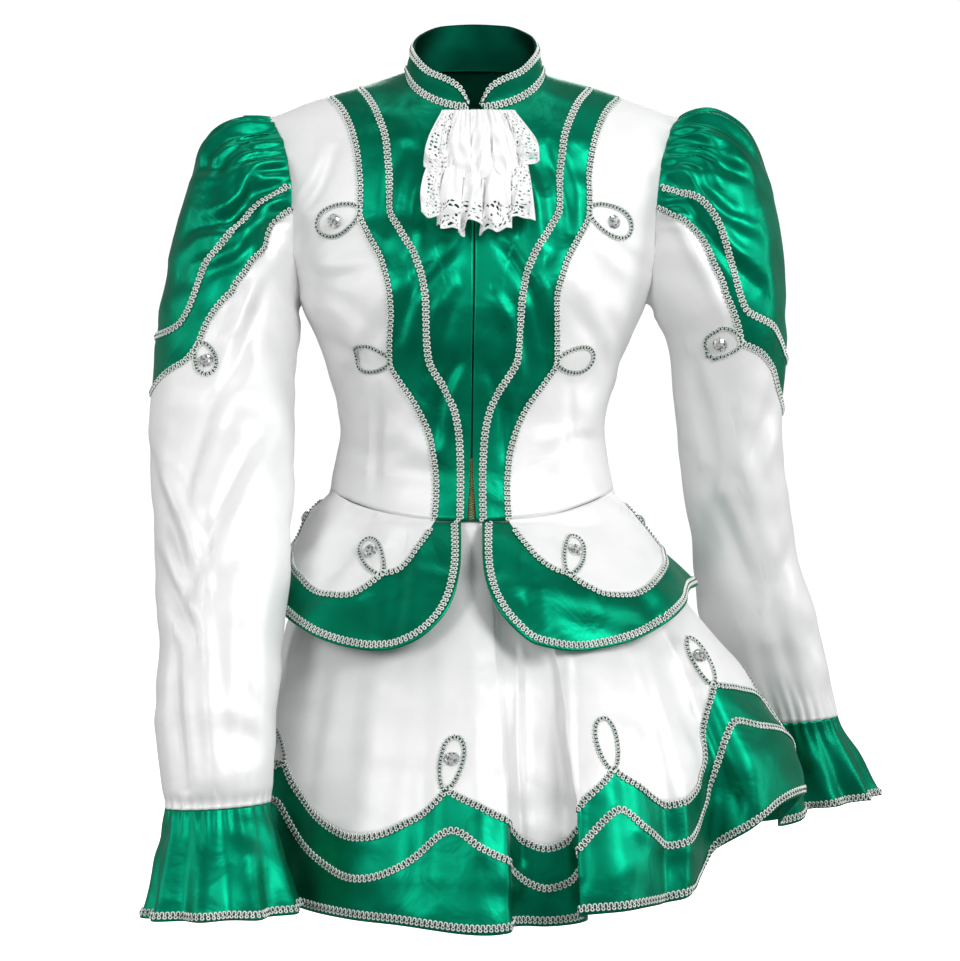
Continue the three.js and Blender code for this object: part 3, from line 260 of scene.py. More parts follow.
class Sheet:
    """A sheet of cloth: a fine grid of points over a form, addressed by the form's own coordinates."""

    def __init__(self, at: Callable[[Array, Array], Array], u: Array, v: Array, closed: bool = False,
                 facing: int = 1, creases: Sequence[Crease] = (), pucker: Pucker = Pucker()) -> None:
        """Measures the grid.

        Args:
            at: The form's points at arrays of u and v.
            u: Places of the columns.
            v: Places of the rows.
            closed: Whether the last column is followed by the first; u then ends on the first column again.
            facing: 1 or -1, so that the normals point out.
            creases: Troughs and ridges pressed into the cloth.
            pucker: Unevenness all over it.
        """
        self.closed = closed
        self.u, self.v = u, v
        self.points = at(*np.meshgrid(u, v, indexing="ij"))
        self.facing = facing
        self.normals = self.slopes()
        push = pucker.push(self.points)
        for crease in creases:
            push = push + crease.push(self.points, self.normals)
        self.points = self.points + self.normals * push[..., None]
        self.normals = self.slopes()

    def slopes(self) -> Array:
        """The normals from each point's neighbours."""
        p = self.points
        across = np.gradient(p, axis=0)
        if self.closed:
            across[0] = across[-1] = p[1] - p[-2]
        down = np.gradient(p, axis=1)
        return unit(np.cross(down, across)) * self.facing

    def read(self, u: Array, v: Array) -> tuple[Array, Array]:
        """Points and normals between the grid's lines."""
        if self.closed:
            u = self.u[0] + np.mod(np.asarray(u, float) - self.u[0], self.u[-1] - self.u[0])
        a = np.clip(np.interp(u, self.u, np.arange(len(self.u))), 0, len(self.u) - 1.000001)
        b = np.clip(np.interp(v, self.v, np.arange(len(self.v))), 0, len(self.v) - 1.000001)
        i, j = np.floor(a).astype(int), np.floor(b).astype(int)
        s, t = (a - i)[..., None], (b - j)[..., None]

        def mix(grid: Array) -> Array:
            """The grid's value inside a cell."""
            low = grid[i, j] * (1 - t) + grid[i, j + 1] * t
            return low * (1 - s) + (grid[i + 1, j] * (1 - t) + grid[i + 1, j + 1] * t) * s

        return mix(self.points), unit(mix(self.normals))

    def point(self, u: float, v: float) -> Array:
        """One point between the grid's lines."""
        return self.read(np.array(u), np.array(v))[0]

    def reach(self, u: float, v: float, move: Array, steps: int = 16) -> tuple[float, float]:
        """The place reached from (u, v) by a move in space that keeps to the cloth."""
        du = 0.6 * (self.u[1] - self.u[0])
        dv = 0.6 * (self.v[1] - self.v[0])
        dv = math.copysign(dv, float(move @ self.frame(u, v)[1]))
        for _ in range(steps):
            here = self.point(u, v)
            a = (self.point(u + du, v) - here) / du
            b = (self.point(u, v + dv) - here) / dv
            answer = np.linalg.lstsq(np.stack([a, b], axis=1), move / steps, rcond=None)[0]
            u, v = u + answer[0], v + answer[1]
        return u, v

    def frame(self, u: float, v: float) -> tuple[Array, Array]:
        """Directions across the cloth and down it at a place."""
        step_u, step_v = self.u[1] - self.u[0], self.v[1] - self.v[0]
        if v + step_v > self.v[-1]:
            down = unit(self.point(u, v) - self.point(u, v - step_v))
        else:
            down = unit(self.point(u, v + step_v) - self.point(u, v))
        across = self.point(u + step_u, v) - self.point(u, v)
        return unit(across - down * float(across @ down)), down

    def cut(self, name: str, wall: float, belongs: Callable[[Array, Array], Array]) -> bpy.types.Object:
        """A piece of cloth from the cells that belong to it, with its wall on the inside.

        Args:
            name: The piece's name.
            wall: Thickness of the cloth.
            belongs: Whether each cell belongs to the piece, from the middles of the cells.

        Returns:
            The piece as a closed mesh with a UV map in metres of cloth.
        """
        mid_u, mid_v = (self.u[1:] + self.u[:-1]) / 2, (self.v[1:] + self.v[:-1]) / 2
        inside = belongs(*np.meshgrid(mid_u, mid_v, indexing="ij"))
        i, j = np.nonzero(inside)
        rows, last = len(self.v), len(self.u) - 1
        nxt = (i + 1) % last if self.closed else i + 1
        faces = np.stack([i * rows + j, i * rows + j + 1, nxt * rows + j + 1, nxt * rows + j], axis=1)
        corners = np.stack([i, i, i + 1, i + 1], axis=1) * rows + np.stack([j, j + 1, j + 1, j], axis=1)
        if self.facing < 0:
            faces, corners = faces[:, ::-1], corners[:, ::-1]
        step_u = np.diff(self.points, axis=0, prepend=self.points[:1])
        step_v = np.diff(self.points, axis=1, prepend=self.points[:, :1])
        run_u = np.cumsum(np.linalg.norm(step_u, axis=-1), axis=0)
        run_v = np.cumsum(np.linalg.norm(step_v, axis=-1), axis=1)
        cloth = np.stack([run_u.mean(axis=1, keepdims=True) + 0 * run_u, run_v], axis=-1).reshape(-1, 2) * MM
        obj = mesh_object(name, self.points.reshape(-1, 3), faces, cloth[corners.reshape(-1)])
        give_wall(obj, wall)
        return obj


def mesh_object(name: str, points: Array, faces: Array, uv: Array | None = None) -> bpy.types.Object:
    """A mesh object from points in millimetres and faces of one size.

    Args:
        name: The piece's name.
        points: Points, some of which may be unused.
        faces: Indices of each face's corners.
        uv: Place on the flat cloth of each face corner, in metres.

    Returns:
        The object, smooth, in the scene, with its unused points left out.
    """
    used, index = np.unique(faces, return_inverse=True)
    mesh = bpy.data.meshes.new(name)
    mesh.from_pydata((points[used] * MM).tolist(), [], index.reshape(faces.shape).tolist())
    if uv is not None:
        mesh.uv_layers.new(name="cloth").data.foreach_set("uv", uv.reshape(-1).astype(np.float32))
    mesh.polygons.foreach_set("use_smooth", [True] * len(mesh.polygons))
    mesh.update()
    obj = bpy.data.objects.new(name, mesh)
    bpy.context.scene.collection.objects.link(obj)
    return obj


def select_none() -> None:
    """Leaves no object selected."""
    for obj in bpy.context.selected_objects:
        obj.select_set(False)


def make_active(obj: bpy.types.Object) -> None:
    """Selects one object alone."""
    select_none()
    bpy.context.view_layer.objects.active = obj
    obj.select_set(True)


def give_wall(obj: bpy.types.Object, wall: float) -> None:
    """Gives a sheet its wall on the inside."""
    make_active(obj)
    solid = obj.modifiers.new("wall", "SOLIDIFY")
    solid.thickness = wall * MM
    solid.offset = -1
    solid.use_even_offset = False
    bpy.ops.object.modifier_apply(modifier=solid.name)


def face_inside(obj: bpy.types.Object) -> None:
    """Gives the faces that look at the garment's axis the second finish, a darker copy that paints shade on
    the inside.
    """
    mesh = obj.data
    normals, centres = (np.empty(3 * len(mesh.polygons)) for _ in range(2))
    mesh.polygons.foreach_get("normal", normals)
    mesh.polygons.foreach_get("center", centres)
    inward = np.sum(normals.reshape(-1, 3)[:, :2] * centres.reshape(-1, 3)[:, :2], axis=1) < 0
    mesh.polygons.foreach_set("material_index", inward.astype(np.int32))


# Finishes --------------------------------------------------------------------------------------------------


class Paint:
    """A node material under construction."""

    def __init__(self, name: str) -> None:
        """Starts a material with one Principled shader."""
        self.material = bpy.data.materials.new(name)
        self.material.use_nodes = True
        self.nodes = self.material.node_tree.nodes
        self.shader = self.nodes["Principled BSDF"]

    def node(self, kind: str, **settings: object) -> bpy.types.Node:
        """Adds a node; settings name its properties or, with a socket's words joined by _, its inputs."""
        node = self.nodes.new(kind)
        sockets = {socket.name.replace(" ", "_"): socket for socket in node.inputs}
        for name, value in settings.items():
            if hasattr(node, name):
                setattr(node, name, value)
            else:
                sockets[name].default_value = value
        return node

    def join(self, source: bpy.types.NodeSocket, target: bpy.types.NodeSocket) -> None:
        """Links two sockets."""
        self.material.node_tree.links.new(source, target)

    def set(self, **values: object) -> None:
        """Sets the shader's own sockets."""
        for name, value in values.items():
            self.shader.inputs[name.replace("_", " ")].default_value = value

    def mix(self, share: bpy.types.NodeSocket, low: Sequence[float], high: Sequence[float],
            start: float = 0.3, end: float = 0.7) -> bpy.types.NodeSocket:
        """A colour that runs from low to high as share goes from start to end."""
        ramp = self.node("ShaderNodeValToRGB")
        ramp.color_ramp.elements[0].position = start
        ramp.color_ramp.elements[1].position = end
        ramp.color_ramp.elements[0].color = (*low, 1)
        ramp.color_ramp.elements[1].color = (*high, 1)
        self.join(share, ramp.inputs["Fac"])
        return ramp.outputs["Color"]

    def bump(self, height: bpy.types.NodeSocket, distance: float, strength: float = 1.0,
             below: bpy.types.NodeSocket | None = None) -> bpy.types.NodeSocket:
        """A bumped normal from a height, on top of another one."""
        bump = self.node("ShaderNodeBump", Distance=distance, Strength=strength)
        self.join(height, bump.inputs["Height"])
        if below is not None:
            self.join(below, bump.inputs["Normal"])
        return bump.outputs["Normal"]


@dataclass(frozen=True)
class Satin:
    """Glossy satin: long floats of yarn over a fine twill, slightly crumpled, with painted shade and light on
    the crumples.

    Attributes:
        name: The material's name.
        slot: The slot that it fills; not used.
        shade: Colour painted in the dips of the crumples: painted shade.
        light: Colour painted on the rises of the crumples: painted light.
        roughness: Usual roughness.
        metallic: Share of mirror-like shine in the cloth's own colour.
        sheen: Pale sheen at grazing angles.
        specular: Strength of the white shine.
        crumple: Height of the small crumples, in metres.
        yarn: Yarns in a metre of cloth.
    """

    name: str
    slot: str
    shade: tuple[float, float, float]
    light: tuple[float, float, float]
    roughness: float
    metallic: float
    sheen: float
    specular: float = 0.3
    crumple: float = 0.002
    yarn: float = 1500.0

    def material(self) -> bpy.types.Material:
        """Builds the material."""
        paint = Paint(self.name)
        place = paint.node("ShaderNodeTexCoord")
        crumple = paint.node("ShaderNodeTexNoise", Scale=24.0, Detail=3.0, Roughness=0.45, Distortion=0.6)
        paint.join(place.outputs["Object"], crumple.inputs["Vector"])
        stretch = paint.node("ShaderNodeMapping")
        stretch.inputs["Scale"].default_value = (self.yarn, self.yarn * 0.16, 1)
        paint.join(place.outputs["UV"], stretch.inputs["Vector"])
        yarn = paint.node("ShaderNodeTexNoise", Scale=1.0, Detail=1.0)
        paint.join(stretch.outputs["Vector"], yarn.inputs["Vector"])
        # Painted shade and light: the base colour follows the crumples' heights, darker in their dips and
        # lighter on their rises.
        colour = paint.mix(crumple.outputs["Fac"], self.shade, self.light)
        paint.join(colour, paint.shader.inputs["Base Color"])
        rough = paint.node("ShaderNodeMapRange")
        rough.inputs["To Min"].default_value = self.roughness - 0.04
        rough.inputs["To Max"].default_value = self.roughness + 0.05
        paint.join(yarn.outputs["Fac"], rough.inputs["Value"])
        paint.join(rough.outputs["Result"], paint.shader.inputs["Roughness"])
        folds = paint.bump(crumple.outputs["Fac"], self.crumple)
        weave = paint.bump(yarn.outputs["Fac"], 0.00005, 0.6, folds)
        paint.join(weave, paint.shader.inputs["Normal"])
        paint.set(Metallic=self.metallic, Sheen_Weight=self.sheen, Sheen_Roughness=0.35)
        paint.set(Anisotropic=0.5, Specular_IOR_Level=self.specular)
        return paint.material


@dataclass(frozen=True)
class Thread:
    """Twisted thread or cord: matt and slightly uneven in colour.

    Attributes:
        name: The material's name.
        slot: The slot that it fills; not used.
        shade: Darker colour of the thread.
        light: Lighter colour of the thread.
        roughness: Its roughness.
        metallic: 1 where it is metal.
    """

    name: str
    slot: str
    shade: tuple[float, float, float]
    light: tuple[float, float, float]
    roughness: float = 0.55
    metallic: float = 0.0

    def material(self) -> bpy.types.Material:
        """Builds the material."""
        paint = Paint(self.name)
        place = paint.node("ShaderNodeTexCoord")
        fibre = paint.node("ShaderNodeTexNoise", Scale=700.0, Detail=3.0)
        tone = paint.node("ShaderNodeTexNoise", Scale=60.0, Detail=2.0)
        for texture in (fibre, tone):
            paint.join(place.outputs["Object"], texture.inputs["Vector"])
        colour = paint.mix(tone.outputs["Fac"], self.shade, self.light)
        paint.join(colour, paint.shader.inputs["Base Color"])
        paint.join(paint.bump(fibre.outputs["Fac"], 0.0003), paint.shader.inputs["Normal"])
        paint.set(Roughness=self.roughness, Metallic=self.metallic, Sheen_Weight=0.2)
        return paint.material


@dataclass(frozen=True)
class Gem:
    """Faceted glass with painted glints: near-black and near-white cells in its colour stand for reflections
    in the facets.
    """

    name: str = "faceted_stone"
    slot: str = "stone"

    def material(self) -> bpy.types.Material:
        """Builds the material."""
        paint = Paint(self.name)
        place = paint.node("ShaderNodeTexCoord")
        glint_cells = paint.node("ShaderNodeTexVoronoi", Scale=420.0)
        paint.join(place.outputs["Object"], glint_cells.inputs["Vector"])
        # Painted reflections: the cells run from near-black to near-white in the base colour.
        tone = paint.mix(glint_cells.outputs["Distance"], (0.02, 0.025, 0.024), (0.86, 0.9, 0.89), 0.12, 0.62)
        paint.join(tone, paint.shader.inputs["Base Color"])
        paint.set(Roughness=0.06, Metallic=0.65, Coat_Weight=1.0, Coat_Roughness=0.02)
        return paint.material


# In each satin, shade and light are the painted shade in the crumples' dips and the painted light on their
# rises.
GREEN_SATIN = Satin("green_satin", "green_satin", (0.0, 0.175, 0.091), (0.0, 0.26, 0.14),
                    roughness=0.39, metallic=0.84, sheen=0.0, specular=0.1, crumple=0.0018)
WHITE_SATIN = Satin("white_satin", "white_satin", (0.79, 0.79, 0.795), (0.85, 0.85, 0.85),
                    roughness=0.42, metallic=0.12, sheen=0.05, specular=0.3, crumple=0.0009)
# Painted shade: a darker, duller copy of the green satin for the collar's inside faces, where shade falls.
COLLAR_INSIDE_SHADE = Satin("green_lining", "green_satin", (0.0, 0.035, 0.019), (0.0, 0.05, 0.028),
                      roughness=0.5, metallic=0.9, sheen=0.0, specular=0.05, crumple=0.0008)
# Painted shade: a darker copy of the green satin for the back's inside faces, seen in shade through the neck.
BACK_INSIDE_SHADE = Satin("neck_lining", "green_satin", (0.0, 0.12, 0.07), (0.0, 0.165, 0.095),
                    roughness=0.5, metallic=0.4, sheen=0.0, specular=0.05, crumple=0.0008)
GIMP = Thread("gimp_cord", "gimp_braid", (0.62, 0.70, 0.65), (0.85, 0.88, 0.84))
# Painted shade: a near-black band and dots under and between the rings, standing for the holes between them.
GIMP_HOLE_SHADE = Thread("gimp_core", "gimp_braid", (0.006, 0.03, 0.02), (0.03, 0.07, 0.05), 0.3, 0.6)
LACE_THREAD = Thread("lace_thread", "lace", (0.84, 0.84, 0.85), (0.92, 0.92, 0.92), 0.8)
ZIP_TAPE = Thread("zip_tape", "zip", (0.0, 0.06, 0.04), (0.0, 0.1, 0.06), 0.7)
BRASS = Thread("zip_brass", "zip", (0.45, 0.27, 0.09), (0.62, 0.42, 0.16), 0.3, 1.0)
STONE = Gem()


class Wardrobe:
    """Hands out each finish's material once."""

    def __init__(self) -> None:
        """Starts with no material made."""
        self.made: dict[str, bpy.types.Material] = {}

    def dress(self, obj: bpy.types.Object, *finishes: Satin | Thread | Gem) -> None:
        """Gives a piece its finishes as its materials, in order, and its body."""
        for finish in finishes:
            if finish.name not in self.made:
                self.made[finish.name] = finish.material()
            obj.data.materials.append(self.made[finish.name])
        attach(obj, BODY)
        logging.info("piece %s: %d faces", obj.name, len(obj.data.polygons))


WARDROBE = Wardrobe()


# Braid and stones ------------------------------------------------------------------------------------------


@dataclass(frozen=True)
class Gimp:
    """Scroll gimp: two staggered rows of small rings over a dark band and dark dots, painted shade for the
    holes between the rings.

    Attributes:
        ring_radius: Radius of a ring, to the middle of its cord.
        cord_radius: Radius of the cord.
        pitch: Distance from one ring to the next.
        sway: Distance of the rings' middles from the braid's middle line.
        core_half_width: Half width of the dark band of painted shade.
        core_height: Height of the dark band of painted shade.
        bead_radius: Radius of a dark dot of painted shade.
        loop_scale: Size of the braid in an ornament loop.
        loop_bead: How much larger the dark dots of a closed line are.
    """

    ring_radius: float = 1.38
    cord_radius: float = 0.63
    pitch: float = 2.2
    sway: float = 1.42
    core_half_width: float = 2.0
    core_height: float = 0.55
    bead_radius: float = 0.85
    loop_scale: float = 0.78
    loop_bead: float = 1.45

    def ring(self) -> tuple[Array, Array]:
        """Points and faces of one ring, in millimetres, lying flat."""
        bpy.ops.mesh.primitive_torus_add(major_segments=9, minor_segments=4, major_radius=self.ring_radius,
                                         minor_radius=self.cord_radius)
        torus = bpy.context.active_object
        points = np.array([v.co[:] for v in torus.data.vertices])
        faces = np.array([p.vertices[:] for p in torus.data.polygons])
        bpy.data.objects.remove(torus)
        return points, faces

    def lay(self, path: Array, normals: Array, closed: bool,
            scale: float = 1.0) -> tuple[Array, Array, Array]:
        """Braid along a line on the cloth.

        Args:
            path: Points of the line.
            normals: The cloth's normals there.
            closed: Whether the line runs back to its start.
            scale: Size of the braid.

        Returns:
            Points, four-cornered faces, and each face's material number.
        """
        if closed:
            path, normals = np.vstack([path, path[:1]]), np.vstack([normals, normals[:1]])
        run = np.insert(np.cumsum(np.linalg.norm(np.diff(path, axis=0), axis=1)), 0, 0)
        count = max(2, 2 * round(run[-1] / self.pitch / scale / 2))
        at = np.linspace(0, run[-1], count, endpoint=False) + (run[-1] / count) / 2
        middle = np.stack([np.interp(at, run, path[:, k]) for k in range(3)], axis=1)
        up = unit(np.stack([np.interp(at, run, normals[:, k]) for k in range(3)], axis=1))
        ahead = np.stack([np.interp(at + 1, run, path[:, k]) - np.interp(at - 1, run, path[:, k])
                          for k in range(3)], axis=1)
        side = unit(np.cross(ahead, up))
        ahead = np.cross(up, side)
        points, faces = self.ring()
        swing = np.where(np.arange(count) % 2, 1, -1)[:, None] * self.sway * scale
        centre = middle + side * swing + up * BRAID_LIFT
        rings = (centre[:, None] + points[None, :, :1] * ahead[:, None] * scale
                 + points[None, :, 1:2] * side[:, None] * scale + points[None, :, 2:] * up[:, None] * scale)
        ring_faces = faces[None] + (np.arange(count) * len(points))[:, None, None]
        # The dark band and the dark dots are painted shade for the holes between the rings.
        core = self.core(middle, side, up, scale, closed)
        shade_dot_scale = scale * (self.loop_bead if closed else 1)
        shade_dots = self.shade_dots(middle[::2], side[::2], ahead[::2], up[::2], shade_dot_scale)
        start, later = rings.size // 3, rings.size // 3 + len(core[0])
        all_faces = np.vstack([ring_faces.reshape(-1, 4), core[1] + start, shade_dots[1] + later])
        kinds = np.repeat([0, 1], [ring_faces.size // 4, len(core[1]) + len(shade_dots[1])])
        return np.vstack([rings.reshape(-1, 3), core[0], shade_dots[0]]), all_faces, kinds

    def shade_dots(self, middle: Array, side: Array, ahead: Array, up: Array, scale: float) -> tuple[Array, Array]:
        """Points and faces of the dark dots of painted shade along the middle, each a low eight-sided
        cushion.
        """
        turn = np.arange(8) * math.pi / 4
        rim = np.stack([np.cos(turn), np.sin(turn)], axis=1) * self.bead_radius * scale
        tiers = []
        for grow, height in ((1.0, 0.7), (0.9, 1.75), (0.4, 2.2)):
            flat = rim[None, :, :1] * side[:, None] + rim[None, :, 1:] * ahead[:, None]
            tiers.append(middle[:, None] + flat * grow + up[:, None] * height)
        points = np.concatenate(tiers, axis=1)
        k = np.arange(8)
        n = (k + 1) % 8
        shape = [np.stack([k + low, n + low, n + low + 8, k + low + 8], axis=1) for low in (0, 8)]
        caps = np.array([[16, 17, 18, 19], [16, 19, 20, 23], [20, 21, 22, 23], [3, 2, 1, 0], [7, 4, 3, 0],
                         [7, 6, 5, 4]])
        shape = np.vstack([*shape, caps])
        faces = shape[None] + (np.arange(len(middle)) * 24)[:, None, None]
        return points.reshape(-1, 3), faces.reshape(-1, 4)

    def core(self, middle: Array, side: Array, up: Array, scale: float, closed: bool) -> tuple[Array, Array]:
        """Points and faces of the dark band of painted shade under the rings."""
        wide = side * self.core_half_width * scale
        low, high = up * 0.25, up * (0.25 + self.core_height)
        section = np.stack([middle - wide + low, middle - wide * 0.8 + high, middle + wide * 0.8 + high,
                            middle + wide + low], axis=1)
        count = len(middle)
        k = np.arange(count if closed else count - 1)
        n = (k + 1) % count
        faces = [np.stack([k * 4 + c, k * 4 + (c + 1) % 4, n * 4 + (c + 1) % 4, n * 4 + c], axis=1)
                 for c in range(4)]
        if not closed:
            end = (count - 1) * 4
            faces.append(np.array([[3, 2, 1, 0], [end, end + 1, end + 2, end + 3]]))
        return section.reshape(-1, 3), np.vstack(faces)

    def piece(self, name: str, lines: Sequence[tuple[Array, Array, bool, float]]) -> None:
        """One braid of several lines, finished and in its place."""
        points, faces, kinds, start = [], [], [], 0
        for line in lines:
            p, f, k = self.lay(*line)
            points.append(p)
            faces.append(f + start)
            kinds.append(k)
            start += len(p)
        obj = mesh_object("gimp_" + name, np.vstack(points), np.vstack(faces))
        obj.data.polygons.foreach_set("material_index", np.concatenate(kinds))
        WARDROBE.dress(obj, GIMP, GIMP_HOLE_SHADE)
        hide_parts("braid_" + name)


GIMP_BRAID = Gimp()


def line_on(sheet: Sheet, u: Array, v: Array, inset: float = 0.0, closed: bool = False,
            scale: float = 1.0) -> tuple[Array, Array, bool, float]:
    """A line of braid on a sheet.

    Args:
        sheet: The cloth.
        u: Places of the line's points across the cloth.
        v: Places down the cloth.
        inset: How far the line lies up the cloth from these places.
        closed: Whether the line runs back to its start.
        scale: Size of the braid.

    Returns:
        The points, normals, closed flag and scale that a braid is laid with.
    """
    u, v = np.broadcast_arrays(np.asarray(u, float), np.asarray(v, float))
    points, normals = sheet.read(u, v)
    if inset:
        step = sheet.v[1] - sheet.v[0]
        near = v - step * (1 if inset > 0 else -1)
        up = unit(sheet.read(u, near)[0] - points)
        points = points + up * abs(inset)
    return points, normals, closed, scale


def loop_on(sheet: Sheet, place: tuple[float, float], lean: tuple[float, float], length: float,
            width: float) -> tuple[tuple[Array, Array, bool, float], tuple[float, float]]:
    """A teardrop loop of braid that grows out of a place, and where its stone sits.

    Args:
        sheet: The cloth.
        place: Where the loop starts.
        lean: Its direction, as shares across and down the cloth.
        length: Length of the loop.
        width: Width of the loop.

    Returns:
        The loop's line, and the stone's place on the cloth.
    """
    size = math.hypot(*lean)
    cos, sin = lean[0] / size, lean[1] / size
    across, down = sheet.frame(*place)

    def spot(forward: float, aside: float) -> tuple[float, float]:
        """The place some millimetres along the loop and to its side."""
        move = across * (cos * forward - sin * aside) + down * (sin * forward + cos * aside)
        return sheet.reach(*place, move)

    places, count = [], 24
    for k in range(count):
        angle = (k + 0.5) / count * 2 * math.pi
        swell = 0.82 - 0.18 * math.cos(angle)
        places.append(spot(length / 2 * (1 - math.cos(angle)), width / 2 * swell * math.sin(angle)))
    u, v = np.array(places).T
    return line_on(sheet, u, v, closed=True, scale=GIMP_BRAID.loop_scale), spot(length * 0.58, 0)


@dataclass(frozen=True)
class StoneCut:
    """A round stone with a straight girdle and two rows of facets up to a flat table.

    Attributes:
        radius: Radius of the girdle.
        height: Height of the whole stone.
        girdle: Height of the girdle.
        waist: Radius where the two rows of facets meet, as a share of the girdle's.
        waist_height: Height of the lower row of facets, as a share of both.
        table: Radius of the table, as a share of the girdle's.
        facets: Facets in a row.
    """

    radius: float = 6.4
    height: float = 4.0
    girdle: float = 1.2
    waist: float = 0.8
    waist_height: float = 0.55
    table: float = 0.56
    facets: int = 10

    def piece(self, name: str, sheet: Sheet, place: tuple[float, float]) -> None:
        """One stone on the cloth, in place of its plain solid."""
        select_none()
        bpy.ops.mesh.primitive_cylinder_add(vertices=self.facets, radius=self.radius, depth=self.girdle,
                                            location=(0, 0, self.girdle / 2))
        obj = bpy.context.active_object
        bpy.ops.object.mode_set(mode="EDIT")
        bpy.ops.mesh.select_mode(type="FACE")
        bpy.ops.mesh.select_all(action="DESELECT")
        bpy.ops.object.mode_set(mode="OBJECT")
        for face in obj.data.polygons:
            face.select = face.normal.z > 0.5
        bpy.ops.object.mode_set(mode="EDIT")
        rise = (self.height - self.girdle) * self.waist_height
        for lift, shrink in ((rise, self.waist), (self.height - self.girdle - rise, self.table / self.waist)):
            bpy.ops.mesh.extrude_region_move(TRANSFORM_OT_translate={"value": (0, 0, lift)})
            bpy.ops.transform.resize(value=(shrink, shrink, 1))
            bpy.ops.transform.rotate(value=math.pi / self.facets, orient_axis="Z",
                                     center_override=(0, 0, 0))
        bpy.ops.object.mode_set(mode="OBJECT")
        base, normal = (row for row in sheet.read(np.array(place[0]), np.array(place[1])))
        side = unit(np.cross([0.0, 0.0, 1.0], normal))
        points = np.array([v.co[:] for v in obj.data.vertices])
        ahead = np.cross(normal, side)
        placed = (base + normal * STONE_LIFT + points[:, :1] * side + points[:, 1:2] * ahead
                  + points[:, 2:] * normal) * MM
        obj.data.vertices.foreach_set("co", placed.reshape(-1))
        obj.location = (0, 0, 0)
        obj.name = obj.data.name = "gem_" + name
        obj.data.update()
        WARDROBE.dress(obj, STONE)
        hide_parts("stone_" + name)


CUT = StoneCut()


def sew(obj: bpy.types.Object, finish: Satin | Thread, node: str, flat: tuple[float, float], hold: Hold,
        area: float, inside_shade: Satin | None = None) -> None:
    """Finishes a piece of cloth and hides the solid that it stands for.

    Args:
        obj: The piece.
        finish: Its cloth.
        node: The solid that it stands for.
        flat: Width and length of the cut, in metres; not used.
        hold: How it is held; not used.
        area: Area of the cut in square metres; not used.
        inside_shade: Finish of its inside faces, where that is another: a darker copy of the cloth as painted
            shade.
    """
    if inside_shade:
        WARDROBE.dress(obj, finish, inside_shade)
        face_inside(obj)
    else:
        WARDROBE.dress(obj, finish)
    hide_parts(node)


# The body's form -------------------------------------------------------------------------------------------

TORSO = Table(("z", "width", "front", "back"), (
    (40, 175, 50, 78), (0, 190, 62, 84), (-50, 186, 80, 90), (-95, 178, 92, 94), (-140, 166, 100, 94),
    (-185, 150, 103, 90), (-211, 138, 101, 85), (-237, 127.5, 96, 80), (-264, 120, 92, 76),
    (-290, 116.8, 89, 74), (-317, 118.8, 88, 76), (-345, 125, 91, 80), (-375, 146, 98, 96)))
ARMHOLE = Table(("z", "x"), (
    (-15, 181), (-30, 172), (-60, 163), (-95, 159), (-130, 158), (-155, 156), (-180, 151.7)))
OUTER_SEAM = Table(("z", "x"), (
    (3, 126), (-22, 110), (-54, 100.5), (-86, 97.5), (-106, 98), (-125, 90), (-150, 77.5), (-182, 70),
    (-214, 71), (-234, 71), (-251, 61.5), (-272, 47), (-295, 36.5), (-320, 31), (-345, 29.5), (-370, 31)))
INNER_LINE = Table(("z", "x"), (
    (10, 101), (-16, 85.5), (-46, 76), (-87, 73.4), (-102, 73), (-122, 63), (-145, 50), (-173, 42),
    (-207, 39.5), (-232, 37.5), (-254, 25.5), (-275, 15), (-300, 10.5), (-334, 9.2), (-370, 9.6)))
BACK_SEAM = Table(("z", "x"), ((3, 126), (-60, 98), (-150, 78), (-250, 54), (-345, 40)))
FRONT_OPENING = Table(("z", "x"), ((0, 0.9), (-300, 0.9), (-340, 2), (-370, 4.2)))
CENTRE_DRIFT = Table(("z", "x"), ((0, 0), (-150, -0.6), (-345, -2.8), (-500, -2.8)))

centre_drift = CENTRE_DRIFT.curve("z", "x")
armhole_at = ARMHOLE.curve("z", "x")


